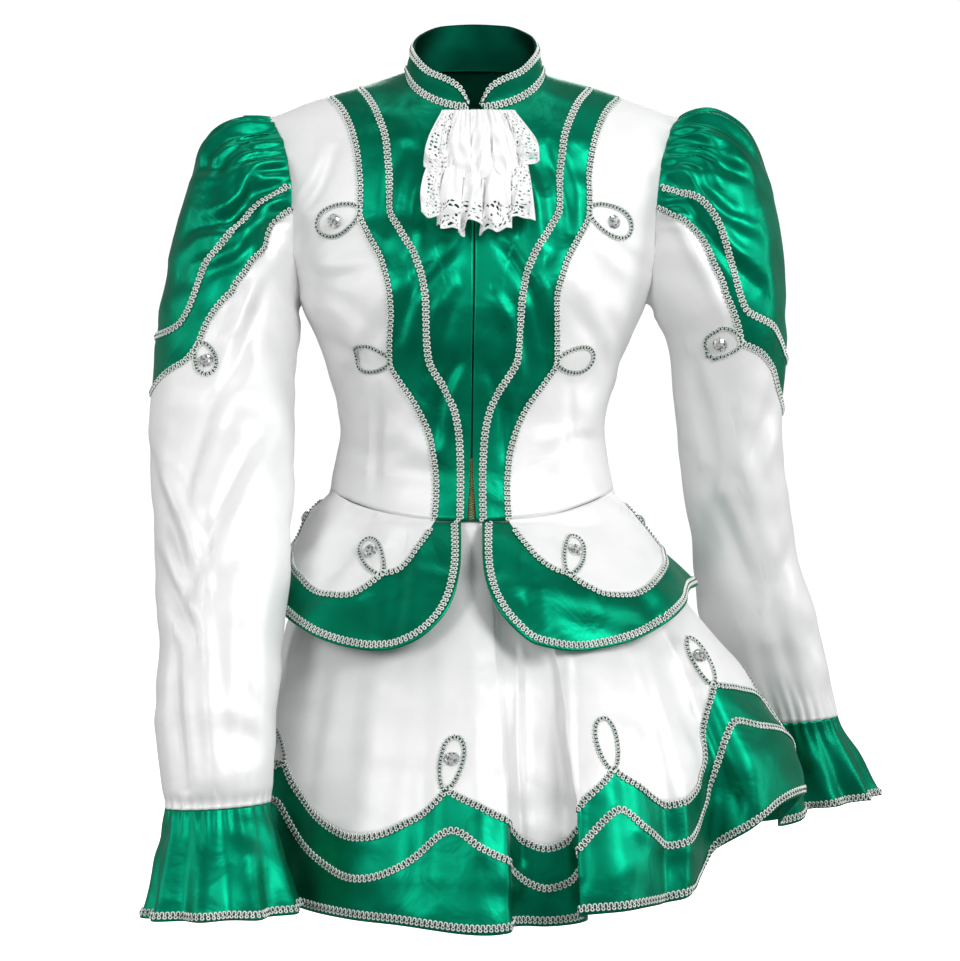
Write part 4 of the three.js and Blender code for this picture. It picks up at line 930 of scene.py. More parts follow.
@dataclass
class Bodice:
    """The fitted bodice: green centre fronts and back, white side fronts and side backs.

    Attributes:
        neck_half_width: Half width of the neckline.
        neck_side: Height of the neckline at its sides.
        neck_front_drop: How far the neckline drops at the front.
        neck_back_rise: How far it rises at the back.
        nape_rise: How far the cloth behind the neck rises.
        shoulder: Height of the shoulder seam at the neck.
        slope: Fall of the shoulder seam for each millimetre out.
        round_front: Depth below the shoulder over which the front rounds off.
        round_back: The same for the back.
        tip: Distance of the shoulder's tip from the centre.
        waist: Height of the waist seam at the sides.
        waist_front_drop: How far the waist seam drops at the front.
        waist_back_drop: How far it drops at the back.
        bust: Place out and up of the bust, its spread across and down, and its rise.
        columns: Columns of points in one front.
        rows: Rows of points.
        first_braid_row: Where the braids start under the shoulder seam.
        loops: Row, lean, length and width of each ornament loop on the outer line.
        empty_loop: The loop that holds no stone.
        front_flat: Cut size of a centre front, in metres.
        creases: Troughs and ridges.
        width: Half width of the body against height.
        front: Depth of its front.
        back: Depth of its back.
        seam: The outer line, between green and white.
        line: The inner line, a braid on the green.
        back_seam: The seam between green and white behind.
        opening: Edge of the front at the zip.
    """

    neck_half_width: float = 60
    neck_side: float = 24.7
    neck_front_drop: float = 41
    neck_back_rise: float = 9
    nape_rise: float = 20.7
    shoulder: float = 23
    slope: float = 0.335
    round_front: float = 65
    round_back: float = 55
    tip: float = 181
    waist: float = -343
    waist_front_drop: float = 27
    waist_back_drop: float = 2
    bust: tuple[float, float, float, float, float] = (72, -165, 38, 45, 12)
    columns: int = 96
    rows: int = 120
    first_braid_row: float = 0.009
    loops: tuple[tuple[float, float, float, float], ...] = ((0.283, 0.36, 45, 31), (0.633, 0.1, 40, 28))
    empty_loop: int = 1
    front_flat: tuple[float, float] = (0.11, 0.40)
    creases: tuple[Crease, ...] = (
        Crease(((-152, -150), (-122, -161), (-92, -157)), 7, -2.6),
        Crease(((-150, -176), (-126, -186), (-100, -208)), 7, 2.4),
        Crease(((-142, -204), (-120, -222), (-104, -246)), 8, -2.4),
        Crease(((-82, -252), (-83, -300), (-84, -340)), 3.2, -1.5),
        Crease(((82, -250), (82, -300), (81, -338)), 3.2, -1.5),
        Crease(((-16, -128), (-30, -146), (-52, -172), (-66, -214)), 6, -3.2),
        Crease(((-20, -168), (-34, -196), (-42, -232)), 6, 2.9),
        Crease(((-14, -232), (-28, -262), (-34, -300)), 5, -2.6),
        Crease(((-62, -50), (-74, -84), (-78, -120)), 6, -2.9),
        Crease(((-40, -60), (-52, -96), (-56, -140)), 6, 2.9),
        Crease(((16, -128), (32, -150), (50, -180), (60, -220)), 6, -3.2),
        Crease(((18, -180), (32, -206), (38, -246)), 6, 2.9),
        Crease(((12, -240), (24, -276), (26, -312)), 5, -2.6),
        Crease(((62, -50), (76, -86), (82, -124)), 6, -2.9),
        Crease(((38, -56), (52, -92), (58, -136)), 6, 2.9),
        Crease(((70, -150), (92, -172), (112, -214)), 9, 1.8),
        Crease(((84, -190), (104, -214), (124, -250)), 7, -1.8),
        Crease(((60, -262), (84, -282), (112, -318)), 9, -1.6),
        Crease(((126, -112), (108, -84), (92, -52)), 8, -1.8),
        Crease(((62, -312), (90, -300), (116, -298)), 6, -1.4),
        Crease(((88, -340), (86, -300), (84, -262)), 2.6, -1.5),
        Crease(((150, -150), (124, -136), (100, -112)), 7, -1.4),
        Crease(((-88, -240), (-104, -226), (-122, -218)), 6, -2.6),
        Crease(((-64, -170), (-84, -190), (-108, -232)), 9, 2.0),
        Crease(((-84, -206), (-104, -232), (-124, -262)), 7, -2.6),
        Crease(((-58, -262), (-84, -284), (-114, -322)), 9, -1.8),
        Crease(((-150, -104), (-136, -84), (-122, -50)), 6, -3.2),
        Crease(((-148, -150), (-128, -128), (-104, -116)), 7, -2.0),
        Crease(((-88, -342), (-87, -300), (-86, -262)), 2.6, -1.8),
        Crease(((-62, -306), (-90, -312), (-114, -306)), 6, -1.4),
        Crease(((-60, -60), (40, -110)), 12, -1.6, True), Crease(((60, -160), (-30, -210)), 14, -1.6, True),
        Crease(((70, -260), (-10, -300)), 9, -1.8, True), Crease(((-70, -270), (0, -315)), 9, -1.6, True),
        Crease(((110, -150), (80, -260)), 8, -1.8, True), Crease(((-110, -150), (-80, -260)), 8, -1.8, True))
    width: Curve = field(default_factory=lambda: TORSO.curve("z", "width"))
    front: Curve = field(default_factory=lambda: TORSO.curve("z", "front"))
    back: Curve = field(default_factory=lambda: TORSO.curve("z", "back"))
    seam: Curve = field(default_factory=lambda: OUTER_SEAM.curve("z", "x"))
    line: Curve = field(default_factory=lambda: INNER_LINE.curve("z", "x"))
    back_seam: Curve = field(default_factory=lambda: BACK_SEAM.curve("z", "x"))
    opening: Curve = field(default_factory=lambda: FRONT_OPENING.curve("z", "x"))

    def shoulder_line(self, x: Array, back: bool) -> Array:
        """Height of the shoulders, and of the nape behind, at a distance from the centre."""
        line = self.shoulder - self.slope * (x - 66)
        if not back:
            return line
        bow = np.clip(1 - (x / self.neck_half_width) ** 2, 0, 1) ** 0.65
        return np.where(x >= self.neck_half_width, line, self.neck_side + 0.3 + self.nape_rise * bow)

    def depth(self, x: Array, z: Array, back: bool) -> Array:
        """Depth of the body: negative on the front, positive on the back."""
        curved = np.sqrt(np.clip(1 - (x / self.width(z)) ** 2, 0, 1))
        radius = self.round_back if back else self.round_front
        fall = np.clip((self.shoulder_line(x, back) - z) / radius, 0, 1)
        over = np.sqrt(1 - (1 - fall) ** 2)
        if back:
            return self.back(z) * curved * over
        bust_x, bust_z, across, down, rise = self.bust
        swell = np.exp(-(((x - bust_x) / across) ** 2) - ((z - bust_z) / down) ** 2)
        return -(self.front(z) * curved * over + rise * swell * curved)

    def column(self, share: Array, z: Array, back: bool) -> Array:
        """Distance of a column from the centre; 1 is the inner line, 2 the seam and 3 the side."""
        seam = self.back_seam(z) if back else self.seam(z)
        width = self.width(z)
        edge = np.where(z > -180, armhole_at(z), width)
        start = np.arcsin(np.clip(seam / width, 0, 1))
        end = np.arcsin(np.clip(edge / width, 0, 1))
        side = width * np.sin(lerp(start, end, np.clip(share - 2, 0, 1)))
        if back:
            inner = seam * share / 2
        else:
            inner = np.where(share > 1, lerp(self.line(z), seam, share - 1),
                             lerp(self.opening(z), self.line(z), share))
        return np.where(share > 2, side, inner)

    def top_x(self, share: Array, back: bool) -> Array:
        """Distance of a column from the centre at the neck and the shoulder."""
        front = np.where(share > 1, lerp(101, 126, share - 1), lerp(0.9, 101, share))
        inner = 63 * share if back else front
        return np.where(share > 2, lerp(126, self.tip, share - 2), inner)

    def top_z(self, x: Array, back: bool) -> Array:
        """Height of the neckline and the shoulder seam."""
        bow = np.sqrt(np.clip(1 - (x / self.neck_half_width) ** 2, 0, 1))
        neck = self.neck_side + (self.neck_back_rise if back else -self.neck_front_drop) * bow
        return np.where(x >= self.neck_half_width, self.shoulder_line(x, back), neck)

    def points(self, side: Array, share: Array, fraction: Array, back: bool) -> Array:
        """Points of a front or the back; fraction runs from the shoulder to the waist."""
        top_x = self.top_x(share, back)
        top_z = self.top_z(top_x, back)
        waist = np.full_like(share, float(self.waist))
        drop = self.waist_back_drop if back else self.waist_front_drop
        for _ in range(4):
            x = self.column(share, waist, back)
            waist = self.waist - drop * np.clip(1 - (x / self.width(waist)) ** 2, 0, 1)
        z = lerp(top_z, waist, fraction)
        x = lerp(top_x, self.column(share, z, back), ease(fraction / 0.03))
        y = self.depth(x, z, back)
        seam_gap = (0.3 if back else -0.3) * (1 - ease(fraction / 0.01))
        gap = np.where(top_x >= self.neck_half_width, seam_gap, 0)
        return stack(side * x + centre_drift(z), y + gap, z)

    def row_places(self) -> Array:
        """Fractions of the rows, close together over the round of the shoulder."""
        return np.linspace(0, 1, self.rows) ** 1.35

    def front_sheet(self, side: Side) -> Sheet:
        """One front."""
        return Sheet(lambda u, v: self.points(np.full_like(u, side.value), u, v, False),
                     np.linspace(0, 3, self.columns), self.row_places(), facing=side.value,
                     creases=self.creases)

    def back_sheet(self) -> Sheet:
        """The back; u is negative on the right."""
        creases = [crease for crease in self.creases if crease.behind]
        return Sheet(lambda u, v: self.points(np.where(u < 0, -1.0, 1.0), np.abs(u), v, True),
                     np.linspace(-3, 3, 2 * self.columns - 1), self.row_places(), facing=-1, creases=creases)

    def build_front(self, side: Side) -> None:
        """Makes one front with its braids and stones."""
        sheet = self.front_sheet(side)
        word = side.word
        centre = sheet.cut(f"cloth_front_centre_{word}", SATIN, lambda u, v: u < 2)
        sew(centre, GREEN_SATIN, f"front_centre_{word}", self.front_flat, Hold.HUNG,
            0.033)
        outer = sheet.cut(f"cloth_front_side_{word}", SATIN, lambda u, v: u >= 2)
        sew(outer, WHITE_SATIN, f"front_side_{word}", (0.16, 0.40), Hold.HUNG, 0.041)
        run = np.linspace(self.first_braid_row, 1, 160)
        GIMP_BRAID.piece(f"inner_{word}", [line_on(sheet, 1.0, run)])
        lines = [line_on(sheet, 2.0, run)]
        for k, (row, lean, length, width) in enumerate(self.loops):
            line, place = loop_on(sheet, (2.0, row), (1, lean), length, width)
            lines.append(line)
            if k != self.empty_loop:
                CUT.piece(f"bodice_{word}_{k + 1}", sheet, place)
        GIMP_BRAID.piece(f"outer_{word}", lines)

    def build_back(self) -> None:
        """Makes the back with its two braids."""
        sheet = self.back_sheet()
        centre = sheet.cut("cloth_back_centre", SATIN, lambda u, v: np.abs(u) < 2)
        # The back's inside faces take the darker copy of the green satin: painted shade.
        sew(centre, GREEN_SATIN, "back_centre", (0.26, 0.40), Hold.HUNG,
            0.072, BACK_INSIDE_SHADE)
        run = np.linspace(self.first_braid_row, 1, 160)
        for side in Side:
            flank = sheet.cut(f"cloth_back_side_{side.word}", SATIN, lambda u, v: u * side.value > 2)
            sew(flank, WHITE_SATIN, f"back_side_{side.word}", (0.15, 0.37), Hold.HUNG, 0.038)
            GIMP_BRAID.piece(f"back_{side.word}", [line_on(sheet, 2.0 * side.value, run)])


@dataclass
class Collar:
    """The stand collar, open at the centre front.

    Attributes:
        bodice: The bodice that carries it.
        top_width: Half width of its top.
        top_depth: Half depth of its top.
        clear: How far its foot lies above the neckline.
        tuck: How far its foot reaches below the neckline behind.
        tops: Height of its top edge at each angle from the centre front.
        start: Angle of its front ends.
    """

    bodice: Bodice
    top_width: float = 54
    top_depth: float = 59
    clear: float = -0.6
    tuck: float = 3.4
    tops: Table = Table(("angle", "top"), (
        (5, -10), (14, 7), (24, 14), (46.5, 23), (66.8, 35), (90, 47), (119.4, 62), (150, 72), (180, 74),
        (210, 72)))
    start: float = 5

    def points(self, turn: Array, share: Array) -> Array:
        """Points of the collar; turn runs right round from the left front to the right front."""
        top_at = self.tops.curve("angle", "top")
        angle = np.where(turn > 180, 360 - turn, turn)
        sin, cos = np.sin(np.radians(angle)), np.cos(np.radians(angle))
        base_x = self.bodice.neck_half_width * sin
        near = np.minimum(base_x, self.bodice.neck_half_width - 1e-6)
        back = angle > 90
        neck_z = np.where(back, self.bodice.top_z(near, True), self.bodice.top_z(near, False))
        clear = self.clear * (0.45 + 0.55 * np.sin(np.radians(2 * np.minimum(angle, 90))))
        clear = clear - self.tuck * ease((angle - 85) / 30)
        base_y = np.where(back, self.bodice.depth(base_x, neck_z, True),
                          self.bodice.depth(base_x, neck_z, False))
        bow = 1 + 0.03 * np.sin(np.pi * share)
        x = lerp(base_x, self.top_width * sin, share) * bow
        y = lerp(base_y, -self.top_depth * cos, share) * bow
        return stack(np.where(turn > 180, -x, x), y, lerp(neck_z + clear, top_at(angle), share))

    def build(self) -> None:
        """Makes the collar and its two braids."""
        turns = np.linspace(self.start, 360 - self.start, 240)
        sheet = Sheet(self.points, turns, np.linspace(0, 1, 30), facing=-1, pucker=Pucker(0.3))
        piece = sheet.cut("cloth_collar", SATIN + 0.3, lambda u, v: u > 0)
        # The collar's inside faces take the darker copy of the green satin: painted shade.
        sew(piece, GREEN_SATIN, "collar", (0.38, 0.05), Hold.HUNG, 0.011, COLLAR_INSIDE_SHADE)
        run = np.linspace(self.start + 0.8, 359.2 - self.start, 260)
        GIMP_BRAID.piece("collar", [line_on(sheet, run, 1.0, 4.0)])
        behind = ease((90 - np.abs(run - 180)) / 25)
        GIMP_BRAID.piece("neck", [line_on(sheet, run, 0.16 * behind, -3.1)])


@dataclass
class ZipFastener:
    """The front zip: a tape behind the two front edges, and its brass teeth.

    Attributes:
        bodice: The bodice that it closes.
        half_width: Half width of the tape.
        behind: How far the tape lies behind the fronts' outside.
        tooth: Width, depth and height of a tooth.
        tooth_pitch: Distance between the teeth of a row.
        first_tooth: Height of the highest tooth that shows.
        stagger: Distance of each row's middle from the centre.
    """

    bodice: Bodice
    half_width: float = 8
    behind: float = 2.4
    tooth: tuple[float, float, float] = (2.9, 1.3, 1.25)
    tooth_pitch: float = 2.1
    first_tooth: float = -316
    stagger: float = 1.05

    def path(self, z: Array, x: float) -> Array:
        """Points behind the fronts at a distance from the centre."""
        y = self.bodice.depth(np.abs(np.full_like(z, x)), z, False) + self.behind
        return stack(x + centre_drift(z), y, z)

    def teeth(self, low: float) -> bpy.types.Object:
        """Two rows of brass teeth that mesh."""
        bpy.ops.mesh.primitive_cube_add(size=1)
        tooth = bpy.context.active_object
        bpy.ops.object.mode_set(mode="EDIT")
        bpy.ops.mesh.select_all(action="SELECT")
        bpy.ops.transform.resize(value=self.tooth)
        bpy.ops.mesh.bevel(offset=0.3, segments=1)
        bpy.ops.object.mode_set(mode="OBJECT")
        points = np.array([v.co[:] for v in tooth.data.vertices])
        shapes = [tuple(p.vertices) for p in tooth.data.polygons]
        bpy.data.objects.remove(tooth)
        heights = np.arange(low + 2, self.first_tooth, self.tooth_pitch / 2)
        centres = self.path(heights, 0.0) + np.array([0, -0.9, 0])
        centres[:, 0] += np.where(np.arange(len(heights)) % 2, self.stagger, -self.stagger)
        placed = (centres[:, None] + points[None]).reshape(-1, 3)
        faces = [tuple(c + k * len(points) for c in shape) for k in range(len(heights)) for shape in shapes]
        mesh = bpy.data.meshes.new("zip_teeth")
        mesh.from_pydata((placed * MM).tolist(), [], faces)
        obj = bpy.data.objects.new("zip_teeth", mesh)
        bpy.context.scene.collection.objects.link(obj)
        return obj

    def build(self) -> None:
        """Makes the tape and the teeth."""
        high = float(self.bodice.top_z(np.array(0.9), False)) - 12
        low = self.bodice.waist - self.bodice.waist_front_drop
        across = np.linspace(-self.half_width, self.half_width, 9)

        def tape(u: Array, v: Array) -> Array:
            """Points of the tape."""
            z = lerp(high, low, v)
            return stack(u + centre_drift(z), self.bodice.depth(np.abs(u), z, False) + self.behind, z)

        sheet = Sheet(tape, across, np.linspace(0, 1, 90))
        piece = sheet.cut("zip_band", 1.1, lambda u, v: v >= 0)
        WARDROBE.dress(piece, ZIP_TAPE)
        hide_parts("zip")
        WARDROBE.dress(self.teeth(low), BRASS)


@dataclass(frozen=True)
class Tier:
    """One gathered tier of the jabot.

    Attributes:
        node: The solid that it stands for.
        top: Height of its top.
        bottom: Height of its lower edge.
        top_half: Half width at the top.
        bottom_half: Half width at the bottom.
        stand: How far its lower edge stands off the bodice.
        phase: Where its waves start.
        drift: How far its lower edge lies to the left.
        solid: Share of its half width, from the middle, with no net.
    """

    node: str
    top: float
    bottom: float
    top_half: float
    bottom_half: float
    stand: float
    phase: float
    drift: float
    solid: float


@dataclass
class Jabot:
    """Two gathered tiers of floral lace that ripple outwards, with scalloped edges.

    Attributes:
        bodice: The bodice that carries it.
        tiers: The two tiers.
        centre: Distance of its middle from the centre front.
        waves: Half waves to each side of the middle.
        columns: Columns of points in a tier.
        rows: Rows of points in a tier.
        scallops: Scallops along the lower edge.
        flat: Cut size of a tier, in metres.
        cell: Width of one flower's place along the edge.
        flower_line: Distance of the flowers' middles from the edge.
        leaf_line: Distance of the leaves' middles from the edge.
        hole: Radius of a hole in the net, as a share of its mesh.
        border: Width of the open border.
    """

    bodice: Bodice
    tiers: tuple[Tier, ...] = (
        Tier("jabot_lower", -52, -122, 40, 46, 11, 0.9, -2.0, 0.0),
        Tier("jabot_upper", -16, -80, 31, 45, 4, 0.0, 4.5, 0.6))
    centre: float = 3
    waves: float = 4.6
    columns: int = 262
    rows: int = 96
    scallops: int = 11
    flat: tuple[float, float] = (0.34, 0.062)
    cell: float = 11.5
    flower_line: float = 7.5
    leaf_line: float = 12.5
    hole: float = 0.35
    border: float = 18

    def points(self, tier: Tier, u: Array, v: Array) -> Array:
        """Points of a tier; u runs across from -1 to 1 and v down from 0 to 1."""
        half = lerp(tier.top_half, tier.bottom_half, np.sin(np.clip(v * 1.5, 0, 1) * math.pi / 2))
        turn = u * math.pi * self.waves + tier.phase + 0.7 * np.sin(u * 5 + tier.phase)
        swing = 0.5 + 0.5 * np.cos(turn) + 0.2 * np.sin(2.3 * turn + 1.1)
        scallop = v * v * 3.2 * np.abs(np.sin((u + 1) * math.pi * self.scallops / 2))
        curl = v * v * (5.0 * swing + (4.0 + 4.5 * tier.solid) * np.sin(u * 9 + 2 * tier.phase))
        z = lerp(tier.top, tier.bottom, v * (1 - 0.2 * v * np.abs(u) ** 3)) - scallop + curl - 1.5 * v
        sway = 5.2 * v * np.sin(turn) + 1.8 * v * np.sin(2.7 * turn + v * 5)
        x = self.centre + tier.drift * v + half * u + sway
        gathers = (0.9 * np.cos(u * 62) + 0.7 * np.cos(u * 41 + 3 * v)) * (1 - ease(v / 0.9))
        crumple = 2.7 * np.sin(u * 23 + 7 * v + tier.phase) * np.sin(v * 15 + 4 * np.sin(u * 9))
        base = self.bodice.depth(np.abs(x), z, False) - LACE - 1.2
        puff = 7 * np.sin(np.clip(v, 0, 1) * math.pi)
        ripple = (1 + 12 * v * (1 - tier.solid * v)) * swing + gathers + crumple * np.sqrt(v)
        return stack(x, base - tier.stand * v - puff - ripple, z)

    def thread(self, tier: Tier, u: Array, v: Array) -> Array:
        """Whether the lace has thread at a place: close cloth, and flowers on an open net along its edges."""
        below, beside = (1 - v) * 56, (1 - np.abs(u)) * 48
        inward = np.minimum(below, beside)
        along = np.where(beside < below, v * 5, (u + 1) * self.scallops / 2)
        cell_x, cell_y = (along - np.floor(along) - 0.5) * self.cell, inward - self.flower_line
        radius, turn = np.hypot(cell_x, cell_y), np.arctan2(cell_y, cell_x)
        petals = (radius < 4.4 * (0.5 + 0.5 * np.abs(np.cos(2.5 * turn + 0.4)))) & (radius > 0.8)
        leaf_x, leaf_y = (along + 0.5 - np.floor(along + 0.5) - 0.5) * self.cell, inward - self.leaf_line
        leaf_turn = np.arctan2(leaf_y, leaf_x)
        leaves = np.hypot(leaf_x, leaf_y) < 3.4 * (0.5 + 0.5 * np.abs(np.cos(1.5 * leaf_turn)))
        edging = (inward < 1.7) | (np.abs(radius - 5.8) < 0.55)
        net_x = u * 26 + 0.5 * np.sin(v * 21)
        net_y = v * 17 + 0.5 * np.sin(u * 25)
        shift = np.where(np.floor(net_y) % 2 > 0, 0.5, 0)
        net = np.hypot((net_x + shift) % 1 - 0.5, net_y % 1 - 0.5) > self.hole
        close = inward > self.border + 2.5 * np.sin(u * 23 + v * 9)
        return petals | leaves | edging | net | close | (v < 0.05) | (np.abs(u) < tier.solid)

    def build(self) -> None:
        """Makes the two tiers."""
        for tier in self.tiers:
            sheet = Sheet(lambda u, v, tier=tier: self.points(tier, u, v), np.linspace(-1, 1, self.columns),
                          np.linspace(0, 1, self.rows), pucker=Pucker(0.2))
            piece = sheet.cut("lace_" + tier.node, 0.5, lambda u, v, tier=tier: self.thread(tier, u, v))
            sew(piece, LACE_THREAD, tier.node, self.flat, Hold.GATHERED,
                0.0085)


PEPLUM_FORM = Table(("z", "width", "front", "back"), (
    (-345, 125, 91, 80), (-356, 136.5, 94, 86), (-370, 148, 97, 95), (-383, 158, 109, 104),
    (-396, 169, 120, 112), (-409, 183, 129, 120), (-428, 197, 142, 130), (-444, 205, 151, 136),
    (-477, 216, 168, 148)))
PEPLUM_LINES = Table(("seam_angle", "seam_z", "edge_angle", "edge_z"), (
    (12.6, -370.4, 3.4, -370.9), (14.5, -380, 3.2, -388), (17, -391, 3.3, -407), (19.5, -403, 4.6, -429),
    (22.5, -410, 8, -451), (26.5, -414, 14.5, -470), (30, -424, 23, -477), (35, -431, 31, -475.5),
    (42, -431, 40, -469), (49, -426.5, 50, -457), (58, -416, 61, -445), (74, -401, 77, -431),
    (93, -390, 93, -428), (107, -400, 107, -430), (122, -404, 122, -433), (137, -400, 137, -435),
    (150, -392, 150, -436), (165, -402, 165, -436), (180, -405, 180, -436)))


@dataclass
class Peplum:
    """The flared peplum, open at the front: white with a scalloped green border.

    Attributes:
        bodice: The bodice that carries it.
        fold: Height of its soft folds at the edge.
        folds: Folds in a full turn.
        right_narrowing: How much narrower it hangs on the right.
        cusps: Number of each point of the scallop with a loop, and the loop's lean.
        sharp: Numbers where the seam of the border turns sharply.
        loop_size: Length and width of a loop.
        density: Columns of points from one number to the next.
        creases: Troughs and ridges.
        width: Half width against height.
        front: Depth of the front against height.
        back: Depth of the back against height.
    """

    bodice: Bodice
    fold: float = 4
    folds: float = 7
    right_narrowing: float = 0.915
    cusps: tuple[tuple[int, float], ...] = ((5, 0), (12, 0), (24, 0), (31, -0.1))
    sharp: tuple[int, ...] = (5, 12, 16)
    loop_size: tuple[float, float] = (45, 23)
    density: int = 9
    creases: tuple[Crease, ...] = (
        Crease(((66, -372), (98, -425)), 8, 2.2), Crease(((90, -370), (150, -440)), 9, -3.0),
        Crease(((-66, -372), (-92, -425)), 8, 2.1), Crease(((-92, -372), (-140, -436)), 8, -2.7),
        Crease(((120, -360), (182, -420)), 8, 2.4), Crease(((-60, -400), (-70, -470)), 8, -2.7),
        Crease(((40, -420), (52, -474)), 8, -2.7), Crease(((-118, -365), (-160, -430)), 8, 2.4))
    width: Curve = field(default_factory=lambda: PEPLUM_FORM.curve("z", "width"))
    front: Curve = field(default_factory=lambda: PEPLUM_FORM.curve("z", "front"))
    back: Curve = field(default_factory=lambda: PEPLUM_FORM.curve("z", "back"))

    def waist(self, angle: Array) -> Array:
        """Height of the waist seam at an angle from the centre front."""
        drop = np.where(np.abs(angle) > 90, self.bodice.waist_back_drop, self.bodice.waist_front_drop)
        return self.bodice.waist - drop * np.cos(np.radians(angle)) ** 2 + 0.4

    def form(self, angle: Array, z: Array, share: Array) -> Array:
        """A point at an angle and a height; share is how far down the peplum it lies."""
        turn = np.radians(angle)
        wave = self.fold * share * share * np.cos(turn * self.folds)
        deep = np.where(np.abs(angle) > 90, self.back(z), self.front(z))
        narrow = np.where(angle < 0, lerp(1, self.right_narrowing, np.clip((-362 - z) / 55, 0, 1)), 1)
        x = (self.width(z) * narrow + wave) * np.sin(turn)
        return stack(x + centre_drift(z), -(deep + wave) * np.cos(turn), z)

    def points(self, u: Array, v: Array) -> Array:
        """Points of the peplum; v runs from the waist to the seam at 1 and the edge at 2."""
        last = len(PEPLUM_LINES.rows) - 1
        side = np.where(u <= last, 1, -1)
        k = np.where(u <= last, u, 2 * last - u)
        seam_angle = scalloped(PEPLUM_LINES.column("seam_angle"))(k)
        seam_z = scalloped(PEPLUM_LINES.column("seam_z"), self.sharp)(k)
        edge_angle = scalloped(PEPLUM_LINES.column("edge_angle"))(k)
        edge_z = scalloped(PEPLUM_LINES.column("edge_z"))(k)
        low = np.clip(v - 1, 0, 1)
        angle = lerp(seam_angle, edge_angle, low)
        upper = lerp(self.waist(side * seam_angle), seam_z, np.clip(v, 0, 1))
        z = np.where(v <= 1, upper, lerp(seam_z, edge_z, low))
        share = np.where(v <= 1, v * 0.6, lerp(0.6, 1, low))
        return self.form(side * angle, z, share)

    def build(self) -> None:
        """Makes the peplum, its border, braids and stones."""
        last = 2 * len(PEPLUM_LINES.rows) - 2
        sheet = Sheet(self.points, np.linspace(0, last, last * self.density + 1), np.linspace(0, 2, 57),
                      creases=self.creases)
        body = sheet.cut("cloth_peplum", SATIN, lambda u, v: v < 1)
        sew(body, WHITE_SATIN, "peplum", (1.0, 0.085), Hold.HUNG,
            0.048)
        border = sheet.cut("cloth_peplum_border", SATIN, lambda u, v: v > 1)
        sew(border, GREEN_SATIN, "peplum_border", (1.3, 0.07), Hold.HUNG, 0.045)
        run = np.linspace(0, last, 700)
        GIMP_BRAID.piece("peplum_edge", [line_on(sheet, run, 2.0, EDGE_INSET)])
        lines = [line_on(sheet, np.linspace(0.6, last - 0.6, 700), 1.0)]
        for k, (cusp, lean) in enumerate(self.cusps):
            line, place = loop_on(sheet, (cusp, 1.0), (lean, -1), *self.loop_size)
            lines.append(line)
            CUT.piece(f"peplum_{k + 1}", sheet, place)
        GIMP_BRAID.piece("peplum_scallop", lines)


HEM = Table(("angle", "x", "y", "z", "band"), (
    (-180, 0, 232, -672, 68), (-165, -62, 216, -672, 107), (-150, -112, 214, -670, 78),
    (-136, -150, 184, -671, 62), (-124, -176, 160, -670, 62), (-112, -188, 112, -668, 80),
    (-101, -214, 86, -666, 107), (-91, -207, 36, -665, 86), (-81, -221, -4, -664, 66),
    (-72, -205, -50, -667, 64), (-63, -202, -90, -672, 84), (-53, -176, -120, -680, 107),
    (-44, -146, -150, -692, 84), (-33, -103, -188, -697, 67), (-22, -61, -212, -699, 79),
    (-11, -15, -225, -704, 115), (-3, 10, -228, -705, 103), (4, 28, -222, -704, 92),
    (6, 31, -206, -702.5, 86), (8, 30, -190, -703, 80), (10, 42, -177, -704, 70), (13, 60, -173, -705, 65),
    (16, 79, -176, -703, 68), (18, 89, -187, -699, 74), (19.5, 91, -202, -694, 80),
    (21.5, 87, -217, -690, 88), (29, 120, -218, -687, 115), (34, 139, -205, -685.5, 98),
    (38, 151, -186, -685.5, 86), (41, 158, -173, -685, 80), (45, 175, -168, -682, 80),
    (50, 184, -145, -677, 84), (54, 192, -112, -666, 94), (58, 205, -100, -649, 106),
    (65, 238, -112, -628, 120), (72, 266, -78, -611, 98), (79, 287, -38, -608, 88),
    (84, 286, -6, -615, 74), (89, 270, 16, -636, 66), (94, 273, 38, -643, 66), (100, 292, 54, -640, 82),
    (107, 296, 82, -636, 107), (114, 274, 106, -644, 88), (122, 250, 118, -648, 70),
    (130, 238, 148, -652, 64), (140, 196, 170, -658, 80), (150, 150, 196, -664, 107),
    (160, 106, 208, -668, 84), (170, 54, 226, -670, 66)))
FLARE = Table(("down", "front", "left", "right"), (
    (0, 0, 0, 0), (35, 0.06, 0.09, 0.08), (60, 0.18, 0.21, 0.19), (85, 0.3, 0.33, 0.29),
    (115, 0.42, 0.47, 0.41), (148, 0.55, 0.63, 0.52), (177, 0.65, 0.74, 0.62), (225, 0.79, 0.92, 0.78),
    (271, 0.89, 0.98, 0.89), (355, 1, 1, 1)))


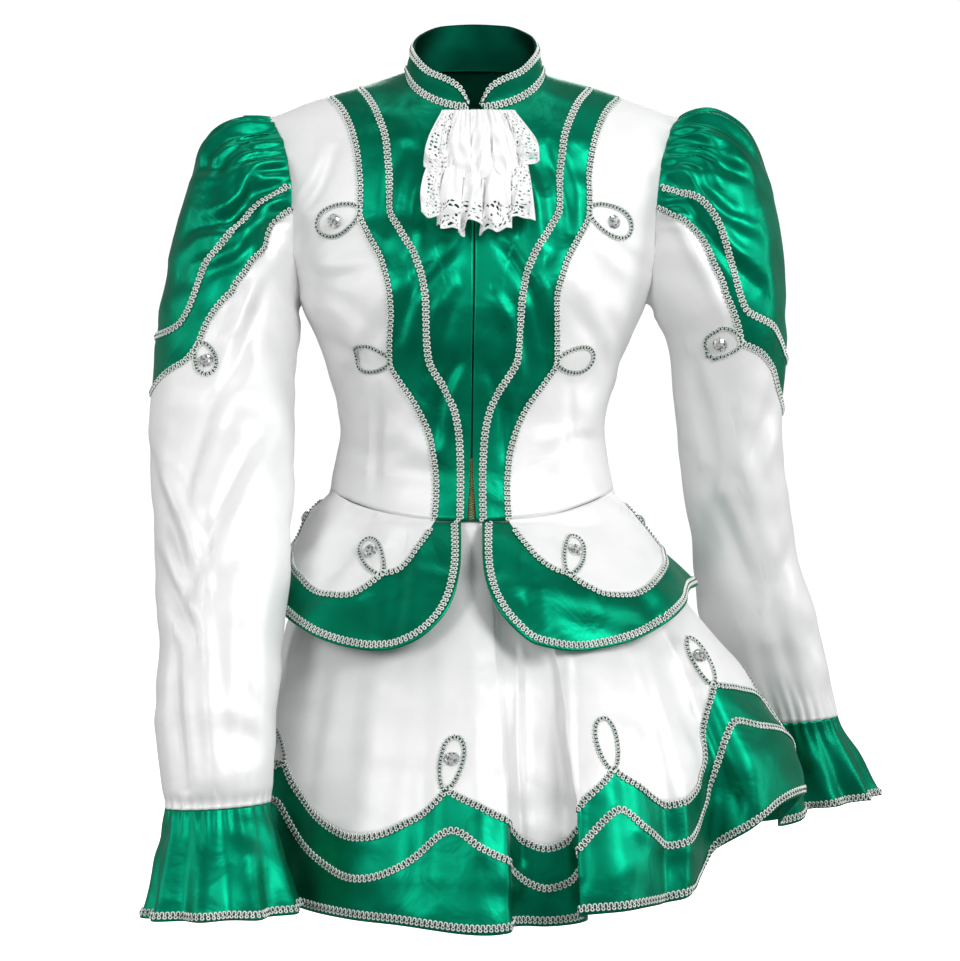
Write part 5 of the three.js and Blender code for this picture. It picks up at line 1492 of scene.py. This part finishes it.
@dataclass
class Skirt:
    """The flared skirt with an inverted pleat: white with a scalloped green band.

    Attributes:
        peplum: The peplum that it hangs under.
        half_right: Half width of the smooth hem on the right.
        half_left: Half width of the smooth hem on the left.
        half_front: Half depth of the smooth hem in front.
        half_back: Half depth of the smooth hem behind.
        fold_power: How late the folds open on the way down.
        inside: How far its top lies inside the peplum.
        below: How far its top lies below the waist seam.
        band_line: Distance from the band's top to its middle braid.
        cusps: Number of each point of the band, and the lean of its loop.
        loop_size: Length and width of a loop.
        empty_loop: The loop that holds no stone.
        density: Columns of points from one number to the next.
        rows: Rows of points in the body, and above and below the band's middle braid.
        creases: Troughs and ridges.
    """

    peplum: Peplum
    half_right: float = 216
    half_left: float = 300
    half_front: float = 222
    half_back: float = 225
    fold_power: float = 1.25
    inside: float = 3.2
    below: float = 1.5
    band_line: float = 33
    cusps: tuple[tuple[int, float], ...] = (
        (1, 0), (6, 0), (11, -1.1), (15, 0.25), (26, -0.05), (34, 0), (41, 0), (46, 0))
    loop_size: tuple[float, float] = (46, 23)
    empty_loop: int = 4
    density: int = 9
    rows: tuple[int, int, int] = (44, 9, 18)
    creases: tuple[Crease, ...] = (
        Crease(((-124, -480), (-140, -560), (-150, -640)), 10, -2.6),
        Crease(((-76, -480), (-88, -570), (-96, -660)), 11, 2.6),
        Crease(((-40, -480), (-44, -580), (-48, -680)), 8, -2.4),
        Crease(((0, -480), (2, -560), (4, -640)), 8, 2.0),
        Crease(((36, -480), (37, -560), (40, -650)), 3.2, -2.6),
        Crease(((78, -480), (80, -560), (86, -660)), 3.2, 2.6),
        Crease(((112, -480), (120, -560), (128, -640)), 8, -2.4),
        Crease(((142, -470), (160, -560), (176, -640)), 8, 2.4),
        Crease(((176, -490), (202, -560), (222, -610)), 7, -2.6))

    def points(self, u: Array, v: Array) -> Array:
        """Points of the skirt; v runs to the band at 1, its inner braid at 2 and the hem at 3."""
        angle = scalloped([*HEM.column("angle"), 180])(u)
        hem_x, hem_y, hem_z = (scalloped(HEM.column(name), closed=True)(u) for name in ("x", "y", "z"))
        band = scalloped(HEM.column("band"), [cusp for cusp, _ in self.cusps], closed=True)(u)
        middle = scalloped(HEM.column("band"), closed=True)(u) - self.band_line
        turn = np.radians(angle)
        waist = self.peplum.form(angle, self.peplum.waist(angle) - self.below, np.zeros_like(angle))
        outward = unit(stack(np.sin(turn) * 90, -np.cos(turn) * 125, 0 * turn))
        waist = waist - outward * self.inside
        smooth_x = np.where(angle > 0, self.half_left, self.half_right) * np.sin(turn)
        smooth_y = -np.where(np.abs(angle) > 90, self.half_back, self.half_front) * np.cos(turn)
        length = waist[..., 2] - hem_z
        top, line = 1 - band / length, 1 - middle / length
        drop = np.where(v <= 1, top * v, np.where(v <= 2, lerp(top, line, v - 1), lerp(line, 1, v - 2)))
        side = np.sin(turn) ** 2
        front, left, right = (FLARE.curve("down", name) for name in ("front", "left", "right"))

        def flare_at(down: Array) -> Array:
            """Share of the flare at a distance below the waist."""
            return lerp(front(down), np.where(angle > 0, left(down), right(down)), side)

        flare = flare_at(drop * length) / flare_at(length)
        fold = drop ** self.fold_power
        x = lerp(waist[..., 0], smooth_x, flare) + (hem_x - smooth_x) * fold
        y = lerp(waist[..., 1], smooth_y, flare) + (hem_y - smooth_y) * fold
        return stack(x, y, lerp(waist[..., 2], hem_z, drop))

    def build(self) -> None:
        """Makes the skirt, its band, braids and stones."""
        count = len(HEM.rows)
        body_rows, line_rows, hem_rows = self.rows
        rows = np.concatenate([np.linspace(0, 1, body_rows), np.linspace(1, 2, line_rows)[1:],
                               np.linspace(2, 3, hem_rows)[1:]])
        sheet = Sheet(self.points, np.linspace(0, count, count * self.density + 1), rows, closed=True,
                      creases=self.creases)
        body = sheet.cut("cloth_skirt", SATIN, lambda u, v: v < 1)
        sew(body, WHITE_SATIN, "skirt", (1.75, 0.28), Hold.GATHERED, 0.31)
        band = sheet.cut("cloth_skirt_border", SATIN, lambda u, v: v > 1)
        sew(band, GREEN_SATIN, "skirt_border", (1.95, 0.12), Hold.HUNG, 0.145)
        run = np.linspace(0, count, 1000, endpoint=False)
        lines = [line_on(sheet, run, 1.0, closed=True)]
        for k, (cusp, lean) in enumerate(self.cusps):
            line, place = loop_on(sheet, (cusp, 1.0), (lean, -1), *self.loop_size)
            lines.append(line)
            if k != self.empty_loop:
                CUT.piece(f"skirt_{k + 1}", sheet, place)
        GIMP_BRAID.piece("skirt_top", lines)
        GIMP_BRAID.piece("skirt_mid", [line_on(sheet, run, 2.0, closed=True)])
        GIMP_BRAID.piece("skirt_hem", [line_on(sheet, run, 3.0, EDGE_INSET, closed=True)])


SLEEVE_NAMES = ("outer_x", "outer_z", "inner_x", "inner_z", "y", "depth")


@dataclass
class Sleeve:
    """A puffed sleeve with a scalloped green cap and a flared green cuff.

    Attributes:
        side: Which arm it is on.
        rings: Outer and inner silhouette points, shift to the back and half depth of each ring.
        cap_side: Angle from the top of the sleeve where the cap ends, at each ring.
        cap_edge: Ring of the cap's lower edge at each column from the top.
        cap_point: Column of the cap's point.
        cap_line: Angle and ring of each point of the inner braid, from the front armhole to the top.
        loop: Lean across and down of the loop, and its width.
        creases: Troughs and ridges of the sleeve.
        wrist: Ring of the wrist.
        cap_half: Columns from the top of the cap to its end.
        columns: Columns all round.
        density: Columns of points from one column to the next.
        rows: Rows of points in the cap, the sleeve and the cuff.
        gather: Height of the gathers over the head of the cap.
        gathers: How many of these there are.
        pleat: Height of the pleats at the armhole.
        cuff_wave: Height of the cuff's waves.
        cuff_waves: How many of these there are.
        armhole_gap: How far outside the armhole line the sleeve starts.
        armhole_heights: Lowest and highest point of the armhole.
        settle: Rings over which the sleeve leaves the armhole.
        loop_length: Length of a loop.
        white_area: Area of the sleeve's cut, in square metres.
        cap_area: Area of the cap's cut, in square metres.
    """

    bodice: Bodice
    side: Side
    rings: Table
    cap_side: Table
    cap_edge: tuple[float, ...]
    cap_point: int
    cap_line: tuple[tuple[float, float], ...]
    loop: tuple[float, float, float]
    creases: tuple[Crease, ...]
    wrist: int = 13
    cap_half: int = 9
    columns: int = 28
    density: int = 9
    rows: tuple[int, int, int] = (60, 90, 34)
    gather: float = 2.6
    gathers: float = 9
    pleat: float = 2.7
    cuff_wave: float = 6
    cuff_waves: float = 9
    armhole_gap: float = -2.2
    armhole_heights: tuple[float, float] = (-180, -15.5)
    settle: float = 1.7
    loop_length: float = 32
    white_area: float = 0.16
    cap_area: float = 0.047

    def angle(self, u: Array, end: Array) -> Array:
        """Angle of a column from the top of the sleeve, positive to the front; the cap ends at end."""
        k = u - self.cap_half
        rest = self.columns - 2 * self.cap_half
        return np.where(k <= self.cap_half, k * end / self.cap_half,
                        end + (k - self.cap_half) * (360 - 2 * end) / rest)

    def form(self, angle: Array, ring: Array) -> Array:
        """A point at an angle of a ring."""
        turn = np.radians(angle)
        numbers = range(len(self.rings.rows))
        outer_x, outer_z, inner_x, inner_z, y, depth = (
            monotone(numbers, self.rings.column(name))(ring) for name in SLEEVE_NAMES)
        over = np.maximum(0, np.cos(turn * 0.9))
        swell = np.sin(math.pi * np.clip(ring / 3.2, 0, 1)) * over
        ripple = self.gather * swell * np.sin(turn * self.gathers * 2 + 1.1 * np.sin(turn * 3))
        front = ease((112 - np.abs(angle)) / 25)
        pleats = np.exp(-(((ring - 0.55) / 0.8) ** 2)) * front
        ripple = ripple + self.pleat * pleats * np.sin(turn * 36 + 1.8 * np.sin(turn * 7))
        near_wrist = np.exp(-(((ring - self.wrist) / 0.55) ** 2))
        ripple = ripple + 1.1 * near_wrist * np.cos(turn * 27 + np.sin(turn * 4))
        flare = np.clip((ring - self.wrist) / 2, 0, 1)
        wave = self.cuff_wave * flare * np.cos(turn * self.cuff_waves)
        grow = 1 + (ripple + wave) / 60
        x = (outer_x + inner_x) / 2 + (outer_x - inner_x) / 2 * np.cos(turn) * grow
        z = (outer_z + inner_z) / 2 + (outer_z - inner_z) / 2 * np.cos(turn) * grow
        point = stack(x, y - depth * np.sin(turn) * grow, z)
        arm_z = lerp(*self.armhole_heights, (1 + np.cos(turn)) / 2)
        arm_x = armhole_at(arm_z)
        arm_y = np.where(np.sin(turn) > 0, self.bodice.depth(arm_x, arm_z, False),
                         self.bodice.depth(arm_x, arm_z, True)) * np.clip(np.abs(np.sin(turn)) * 8, 0, 1)
        start = stack(arm_x + self.armhole_gap, arm_y, arm_z)
        point = lerp(start, point, (1 - (1 - np.clip(ring / self.settle, 0, 1)) ** 2.2)[..., None])
        return point * np.array([self.side.value, 1, 1])

    def edge(self, u: Array) -> Array:
        """Ring of the cap's lower edge, carried on under the arm."""
        away = np.minimum(np.abs(u - self.cap_half), self.cap_half)
        return scalloped(self.cap_edge, [self.cap_point])(away)

    def points(self, u: Array, v: Array) -> Array:
        """Points of the sleeve; v runs to the cap's edge at 1, the wrist at 2 and the cuff's hem at 3."""
        edge = self.edge(u)
        ring = np.where(v <= 1, edge * v, np.where(v <= 2, lerp(edge, self.wrist, v - 1),
                                                   self.wrist + 2 * (v - 2)))
        end = self.cap_side.curve("ring", "angle")(ring)
        return self.form(self.angle(u, end), ring)

    def inner_line(self, sheet: Sheet) -> tuple[Array, Array, bool, float]:
        """The braid inside the cap's edge, from the front armhole round to the back one."""
        angle, ring = np.array(self.cap_line).T
        at = np.arange(len(ring))
        fine = np.linspace(0, len(ring) - 1, 90)
        ring = monotone(at, ring)(fine)
        away = monotone(at, angle)(fine) / self.cap_side.curve("ring", "angle")(ring) * self.cap_half
        v = ring / self.edge(self.cap_half + away)
        u = np.concatenate([self.cap_half + away, (self.cap_half - away)[::-1]])
        return line_on(sheet, u, np.concatenate([v, v[::-1]]))

    def border(self, sheet: Sheet) -> tuple[Array, Array, bool, float]:
        """The braid down one side of the cap, along its lower edge and up the other side."""
        down = np.linspace(0.033, 1, 80)
        along = np.linspace(2 * self.cap_half, 0, 240)
        u = np.concatenate([np.full(80, 2.0 * self.cap_half), along, np.zeros(80)])
        return line_on(sheet, u, np.concatenate([down, np.ones(240), down[::-1]]))

    def build(self) -> None:
        """Makes the sleeve, its cap and cuff, their braids and stones."""
        word = self.side.word
        cap_rows, arm_rows, cuff_rows = self.rows
        rows = np.concatenate([np.linspace(0, 1, cap_rows), np.linspace(1, 2, arm_rows)[1:],
                               np.linspace(2, 3, cuff_rows)[1:]])
        sheet = Sheet(self.points, np.linspace(0, self.columns, self.columns * self.density + 1), rows,
                      closed=True, facing=-self.side.value, creases=self.creases)
        wide = 2 * self.cap_half
        cap = sheet.cut(f"cloth_sleeve_cap_{word}", SATIN, lambda u, v: (u < wide) & (v < 1))
        sew(cap, GREEN_SATIN, f"sleeve_cap_{word}", (0.26, 0.29), Hold.GATHERED,
            self.cap_area)
        arm = sheet.cut(f"cloth_sleeve_{word}", SATIN, lambda u, v: ((v > 1) | (u > wide)) & (v < 2))
        sew(arm, WHITE_SATIN, f"sleeve_{word}", (0.36, 0.56), Hold.HUNG,
            self.white_area)
        cuff = sheet.cut(f"cloth_cuff_{word}", SATIN, lambda u, v: v > 2)
        sew(cuff, GREEN_SATIN, f"cuff_{word}", (0.36, 0.105), Hold.GATHERED, 0.029)
        GIMP_BRAID.piece(f"cap_mid_{word}", [self.inner_line(sheet)])
        lines = [self.border(sheet)]
        lean, down, width = self.loop
        for k, facing in enumerate((1, -1)):
            place = (self.cap_half + facing * self.cap_point, 1.0)
            line, spot = loop_on(sheet, place, (facing * lean, down), self.loop_length, width)
            lines.append(line)
            CUT.piece(f"sleeve_{word}_{k + 1}", sheet, spot)
        GIMP_BRAID.piece(f"cap_edge_{word}", lines)
        run = np.linspace(0, self.columns, 260, endpoint=False)
        GIMP_BRAID.piece(f"cuff_{word}", [line_on(sheet, run, 3.0, 4.5, closed=True)])


RIGHT_RINGS = Table(SLEEVE_NAMES, (
    (178, -17, 155, -181, 0, 50), (203, -17.5, 155, -186, 0, 55), (229, -29.5, 154, -192, -2, 60),
    (246, -55, 153, -197, -5, 64),
    (259, -105, 153, -203, -9, 66), (271, -158, 153, -211, -15, 66), (278, -213, 155, -225, -24, 65),
    (281, -262, 156, -263, -42, 64), (280, -318, 155, -316, -66, 62), (272, -394, 156, -392, -97, 60),
    (267, -470, 161, -468, -122, 56), (267, -540, 165, -538, -144, 52), (261, -590, 168, -586, -158, 46),
    (257, -607, 171, -602, -163, 40), (264, -650, 158, -646, -176, 47), (271, -694, 146, -689, -190, 55)))
LEFT_RINGS = Table(SLEEVE_NAMES, (
    (178, -14, 155, -180, 0, 50), (203, -9.5, 156, -184, 0, 54), (233, -23, 157, -188, 2, 59),
    (252, -50, 158, -191, 4, 62),
    (267, -100, 160, -194, 6, 63), (274, -150, 163, -199, 8, 63), (276, -196, 168, -208, 13, 61),
    (275, -240, 174, -240, 24, 58), (273, -290, 179, -288, 40, 56), (281, -345, 187, -341, 62, 54),
    (294, -412, 198, -404, 92, 52), (312, -463, 204, -452, 114, 50), (326, -515, 226, -500, 138, 47),
    (334, -552, 250, -560, 153, 41), (353, -589, 252, -600, 165, 48), (374, -628, 262, -642, 178, 54)))
RIGHT_CREASES = (
    Crease(((-174, -30), (-196, -36), (-212, -50), (-224, -63), (-246, -62)), 6, -4.2),
    Crease(((-168, -57), (-187, -62), (-198, -72), (-204, -86), (-214, -98), (-238, -105)), 5.5, 3.8),
    Crease(((-172, -80), (-188, -88), (-198, -101), (-214, -113), (-236, -114), (-261, -131)), 6.5, -4.4),
    Crease(((-170, -92), (-190, -118), (-214, -140), (-246, -152)), 6, 2.4),
    Crease(((-166, -104), (-180, -134), (-200, -170), (-214, -200)), 6.5, -2.8),
    Crease(((-278, -316), (-266, -352), (-250, -392), (-240, -430)), 7, -5.0),
    Crease(((-272, -396), (-254, -428), (-234, -462)), 6.5, -4.6),
    Crease(((-200, -230), (-222, -268), (-242, -330), (-248, -362)), 7, -4.2),
    Crease(((-178, -286), (-200, -330), (-226, -392), (-238, -424)), 7, -4.2),
    Crease(((-186, -130), (-198, -178), (-212, -226), (-224, -282)), 8, 4.0),
    Crease(((-262, -330), (-240, -372), (-222, -424)), 6, 3.2),
    Crease(((-182, -400), (-190, -480), (-188, -560)), 7, -3.0),
    Crease(((-225, -450), (-220, -520), (-214, -580)), 8, 3.0),
    Crease(((-250, -470), (-246, -530), (-240, -588)), 6, -3.0), Crease(((-238, -40), (-262, -150)), 7, 1.6),
    Crease(((-222, -50), (-235, -140)), 6, -1.6), Crease(((-205, -60), (-208, -130)), 5, -1.4),
    Crease(((-230, -150), (-240, -420)), 10, -3.0, True),
    Crease(((-180, -260), (-200, -480)), 10, -2.8, True))
LEFT_CREASES = (
    Crease(((178, -34), (196, -44), (210, -60), (232, -70)), 6, -4.0),
    Crease(((172, -56), (188, -70), (198, -88), (214, -104), (240, -116)), 5.5, 3.6),
    Crease(((170, -74), (184, -94), (196, -116), (216, -140), (244, -166)), 6.5, -4.2),
    Crease(((168, -96), (180, -122), (196, -152), (214, -190)), 6, 2.6),
    Crease(((233, -48), (250, -120), (262, -212)), 9, 3.0),
    Crease(((188, -232), (202, -280), (212, -334)), 7, -3.4),
    Crease(((268, -240), (254, -290), (236, -334)), 7, -3.2),
    Crease(((202, -330), (226, -380), (250, -440)), 7, -3.6), Crease(((286, -380), (262, -470)), 8, -2.4),
    Crease(((230, -300), (262, -400)), 9, 2.4), Crease(((262, -430), (292, -530)), 8, -2.2),
    Crease(((240, -470), (262, -545)), 7, 2.0), Crease(((215, -45), (226, -130)), 6, -1.6),
    Crease(((196, -50), (200, -120)), 5, -1.4), Crease(((240, -150), (226, -400)), 10, -3.0, True),
    Crease(((190, -260), (240, -460)), 10, -2.8, True))


def make_sleeves(bodice: Bodice) -> tuple[Sleeve, Sleeve]:
    """Both sleeves with their own poses."""
    right = Sleeve(
        bodice, Side.RIGHT, RIGHT_RINGS,
        Table(("ring", "angle"), ((0, 90), (1, 97), (2, 107), (3.7, 99), (4.6, 92), (6, 92))),
        (6.95, 6.93, 6.86, 6.74, 6.62, 6.5, 6.35, 6.0, 5.2, 4.6), 7,
        ((76, 0.2), (84, 1.2), (86, 2.3), (81, 3.2), (73, 3.9), (64, 4.6), (60, 5.2), (50, 5.7),
         (34, 5.86), (17, 5.92), (0, 5.94)),
        (0.5, 1, 23), RIGHT_CREASES)
    left = Sleeve(
        bodice, Side.LEFT, LEFT_RINGS,
        Table(("ring", "angle"), ((0, 90), (1, 96), (1.9, 99), (3.65, 97), (4.9, 92), (6, 92))),
        (7.7, 7.66, 7.54, 7.3, 7.0, 6.8, 6.62, 6.5, 6.4, 4.9), 8,
        ((78, 0.2), (83, 1.4), (84, 2.6), (83, 3.8), (80, 5), (75, 5.6), (66, 5.8), (48, 6.05),
         (32, 6.35), (17, 6.65), (0, 6.8)),
        (1, -0.1, 33), LEFT_CREASES, white_area=0.13, cap_area=0.042)
    return right, left


# Studio ----------------------------------------------------------------------------------------------------


@dataclass(frozen=True)
class Lamp:
    """A soft box.

    Attributes:
        name: The lamp's name.
        place: Where it hangs, in metres.
        aim: The point that it faces.
        size: Its width and height.
        power: Its power in watts.
    """

    name: str
    place: tuple[float, float, float]
    aim: tuple[float, float, float]
    size: tuple[float, float]
    power: float

    def build(self) -> None:
        """Hangs the lamp and turns it to its aim."""
        light = bpy.data.lights.new(self.name, "AREA")
        light.shape = "RECTANGLE"
        light.size, light.size_y = self.size
        light.energy = self.power
        obj = bpy.data.objects.new(self.name, light)
        obj.location = self.place
        ray = np.array(self.aim) - np.array(self.place)
        obj.rotation_euler = (math.atan2(math.hypot(ray[0], ray[1]), -ray[2]), 0, math.atan2(-ray[0], ray[1]))
        bpy.context.scene.collection.objects.link(obj)


@dataclass
class Studio:
    """A pale floor, soft boxes, a white room and the camera, all in metres.

    Attributes:
        distance: Distance of the camera in front of the dress.
        aim_x: Where the level camera stands across.
        aim_z: Height of the camera.
        lens: Focal length, in millimetres.
        sensor: Width of the sensor, in millimetres.
        floor: Height of the floor.
        reach: Radius of the floor.
        floor_glow: Brightness of the floor's own light.
        world: Strength of the room's light.
        wall: Brightness of the room behind the dress.
        lamps: The soft boxes.
    """

    distance: float = 3.0
    aim_x: float = 0.0044
    aim_z: float = -0.3348
    lens: float = 127.84
    sensor: float = 36.0
    floor: float = -0.82
    reach: float = 9.0
    floor_glow: float = 1.0
    world: float = 0.3
    wall: float = 1.05
    lamps: tuple[Lamp, ...] = (
        Lamp("key_box", (1.6, -2.1, 0.8), (0, 0, -0.35), (0.9, 1.2), 46),
        Lamp("fill_box", (-1.4, -2.3, 0.4), (0, 0, -0.35), (0.6, 1.2), 20),
        Lamp("side_box", (2.3, -0.3, 0.0), (0, 0, -0.35), (0.5, 1.6), 16),
        Lamp("rim_box", (-2.3, -0.5, 0.0), (0, 0, -0.35), (0.5, 1.6), 12),
        Lamp("top_box", (0.0, -0.2, 2.0), (0, 0, -0.3), (1.4, 0.8), 10),
        Lamp("back_box", (0.3, 2.6, 0.9), (0, 0, -0.3), (1.6, 1.4), 26))

    def build(self) -> None:
        """Sets up the whole studio."""
        self.camera()
        self.sweep()
        for lamp in self.lamps:
            lamp.build()
        self.room()
        bpy.context.scene.view_settings.view_transform = "Standard"

    def room(self) -> None:
        """Surrounds the dress with a white room that lights it softly."""
        world = bpy.data.worlds.new("soft_room")
        world.use_nodes = True
        nodes, links = world.node_tree.nodes, world.node_tree.links
        light = nodes["Background"]
        light.inputs["Strength"].default_value = self.world
        wall = nodes.new("ShaderNodeBackground")
        wall.inputs["Strength"].default_value = self.wall
        for shader in (light, wall):
            shader.inputs["Color"].default_value = (1, 1, 1, 1)
        path = nodes.new("ShaderNodeLightPath")
        mix = nodes.new("ShaderNodeMixShader")
        links.new(path.outputs["Is Camera Ray"], mix.inputs["Fac"])
        links.new(light.outputs["Background"], mix.inputs[1])
        links.new(wall.outputs["Background"], mix.inputs[2])
        links.new(mix.outputs["Shader"], nodes["World Output"].inputs["Surface"])
        bpy.context.scene.world = world

    def camera(self) -> None:
        """Puts the camera level, in front of the dress."""
        data = bpy.data.cameras.new("camera")
        data.lens = self.lens
        data.sensor_width = self.sensor
        data.sensor_fit = "HORIZONTAL"
        obj = bpy.data.objects.new("camera", data)
        obj.location = (self.aim_x, -self.distance, self.aim_z)
        obj.rotation_euler = (math.pi / 2, 0, 0)
        bpy.context.scene.collection.objects.link(obj)
        bpy.context.scene.camera = obj

    def sweep(self) -> None:
        """Lays the pale floor."""
        select_none()
        bpy.ops.mesh.primitive_circle_add(vertices=96, radius=self.reach, fill_type="NGON",
                                          location=(0, 0, self.floor))
        floor = bpy.context.active_object
        floor.name = "floor"
        paint = Paint("pale_floor")
        paint.set(Base_Color=(0.93, 0.93, 0.93, 1), Roughness=0.9)
        paint.set(Emission_Color=(1, 1, 1, 1), Emission_Strength=self.floor_glow)
        floor.data.materials.append(paint.material)
        floor.visible_diffuse = floor.visible_glossy = False


def main() -> None:
    """Builds the dress piece by piece around its solids."""
    logging.basicConfig(level=logging.INFO, format="%(message)s")
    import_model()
    Studio().build()
    bodice = Bodice()
    for side in Side:
        bodice.build_front(side)
    bodice.build_back()
    Collar(bodice).build()
    ZipFastener(bodice).build()
    Jabot(bodice).build()
    peplum = Peplum(bodice)
    peplum.build()
    Skirt(peplum).build()
    for sleeve in make_sleeves(bodice):
        sleeve.build()


if __name__ == "__main__":
    main()
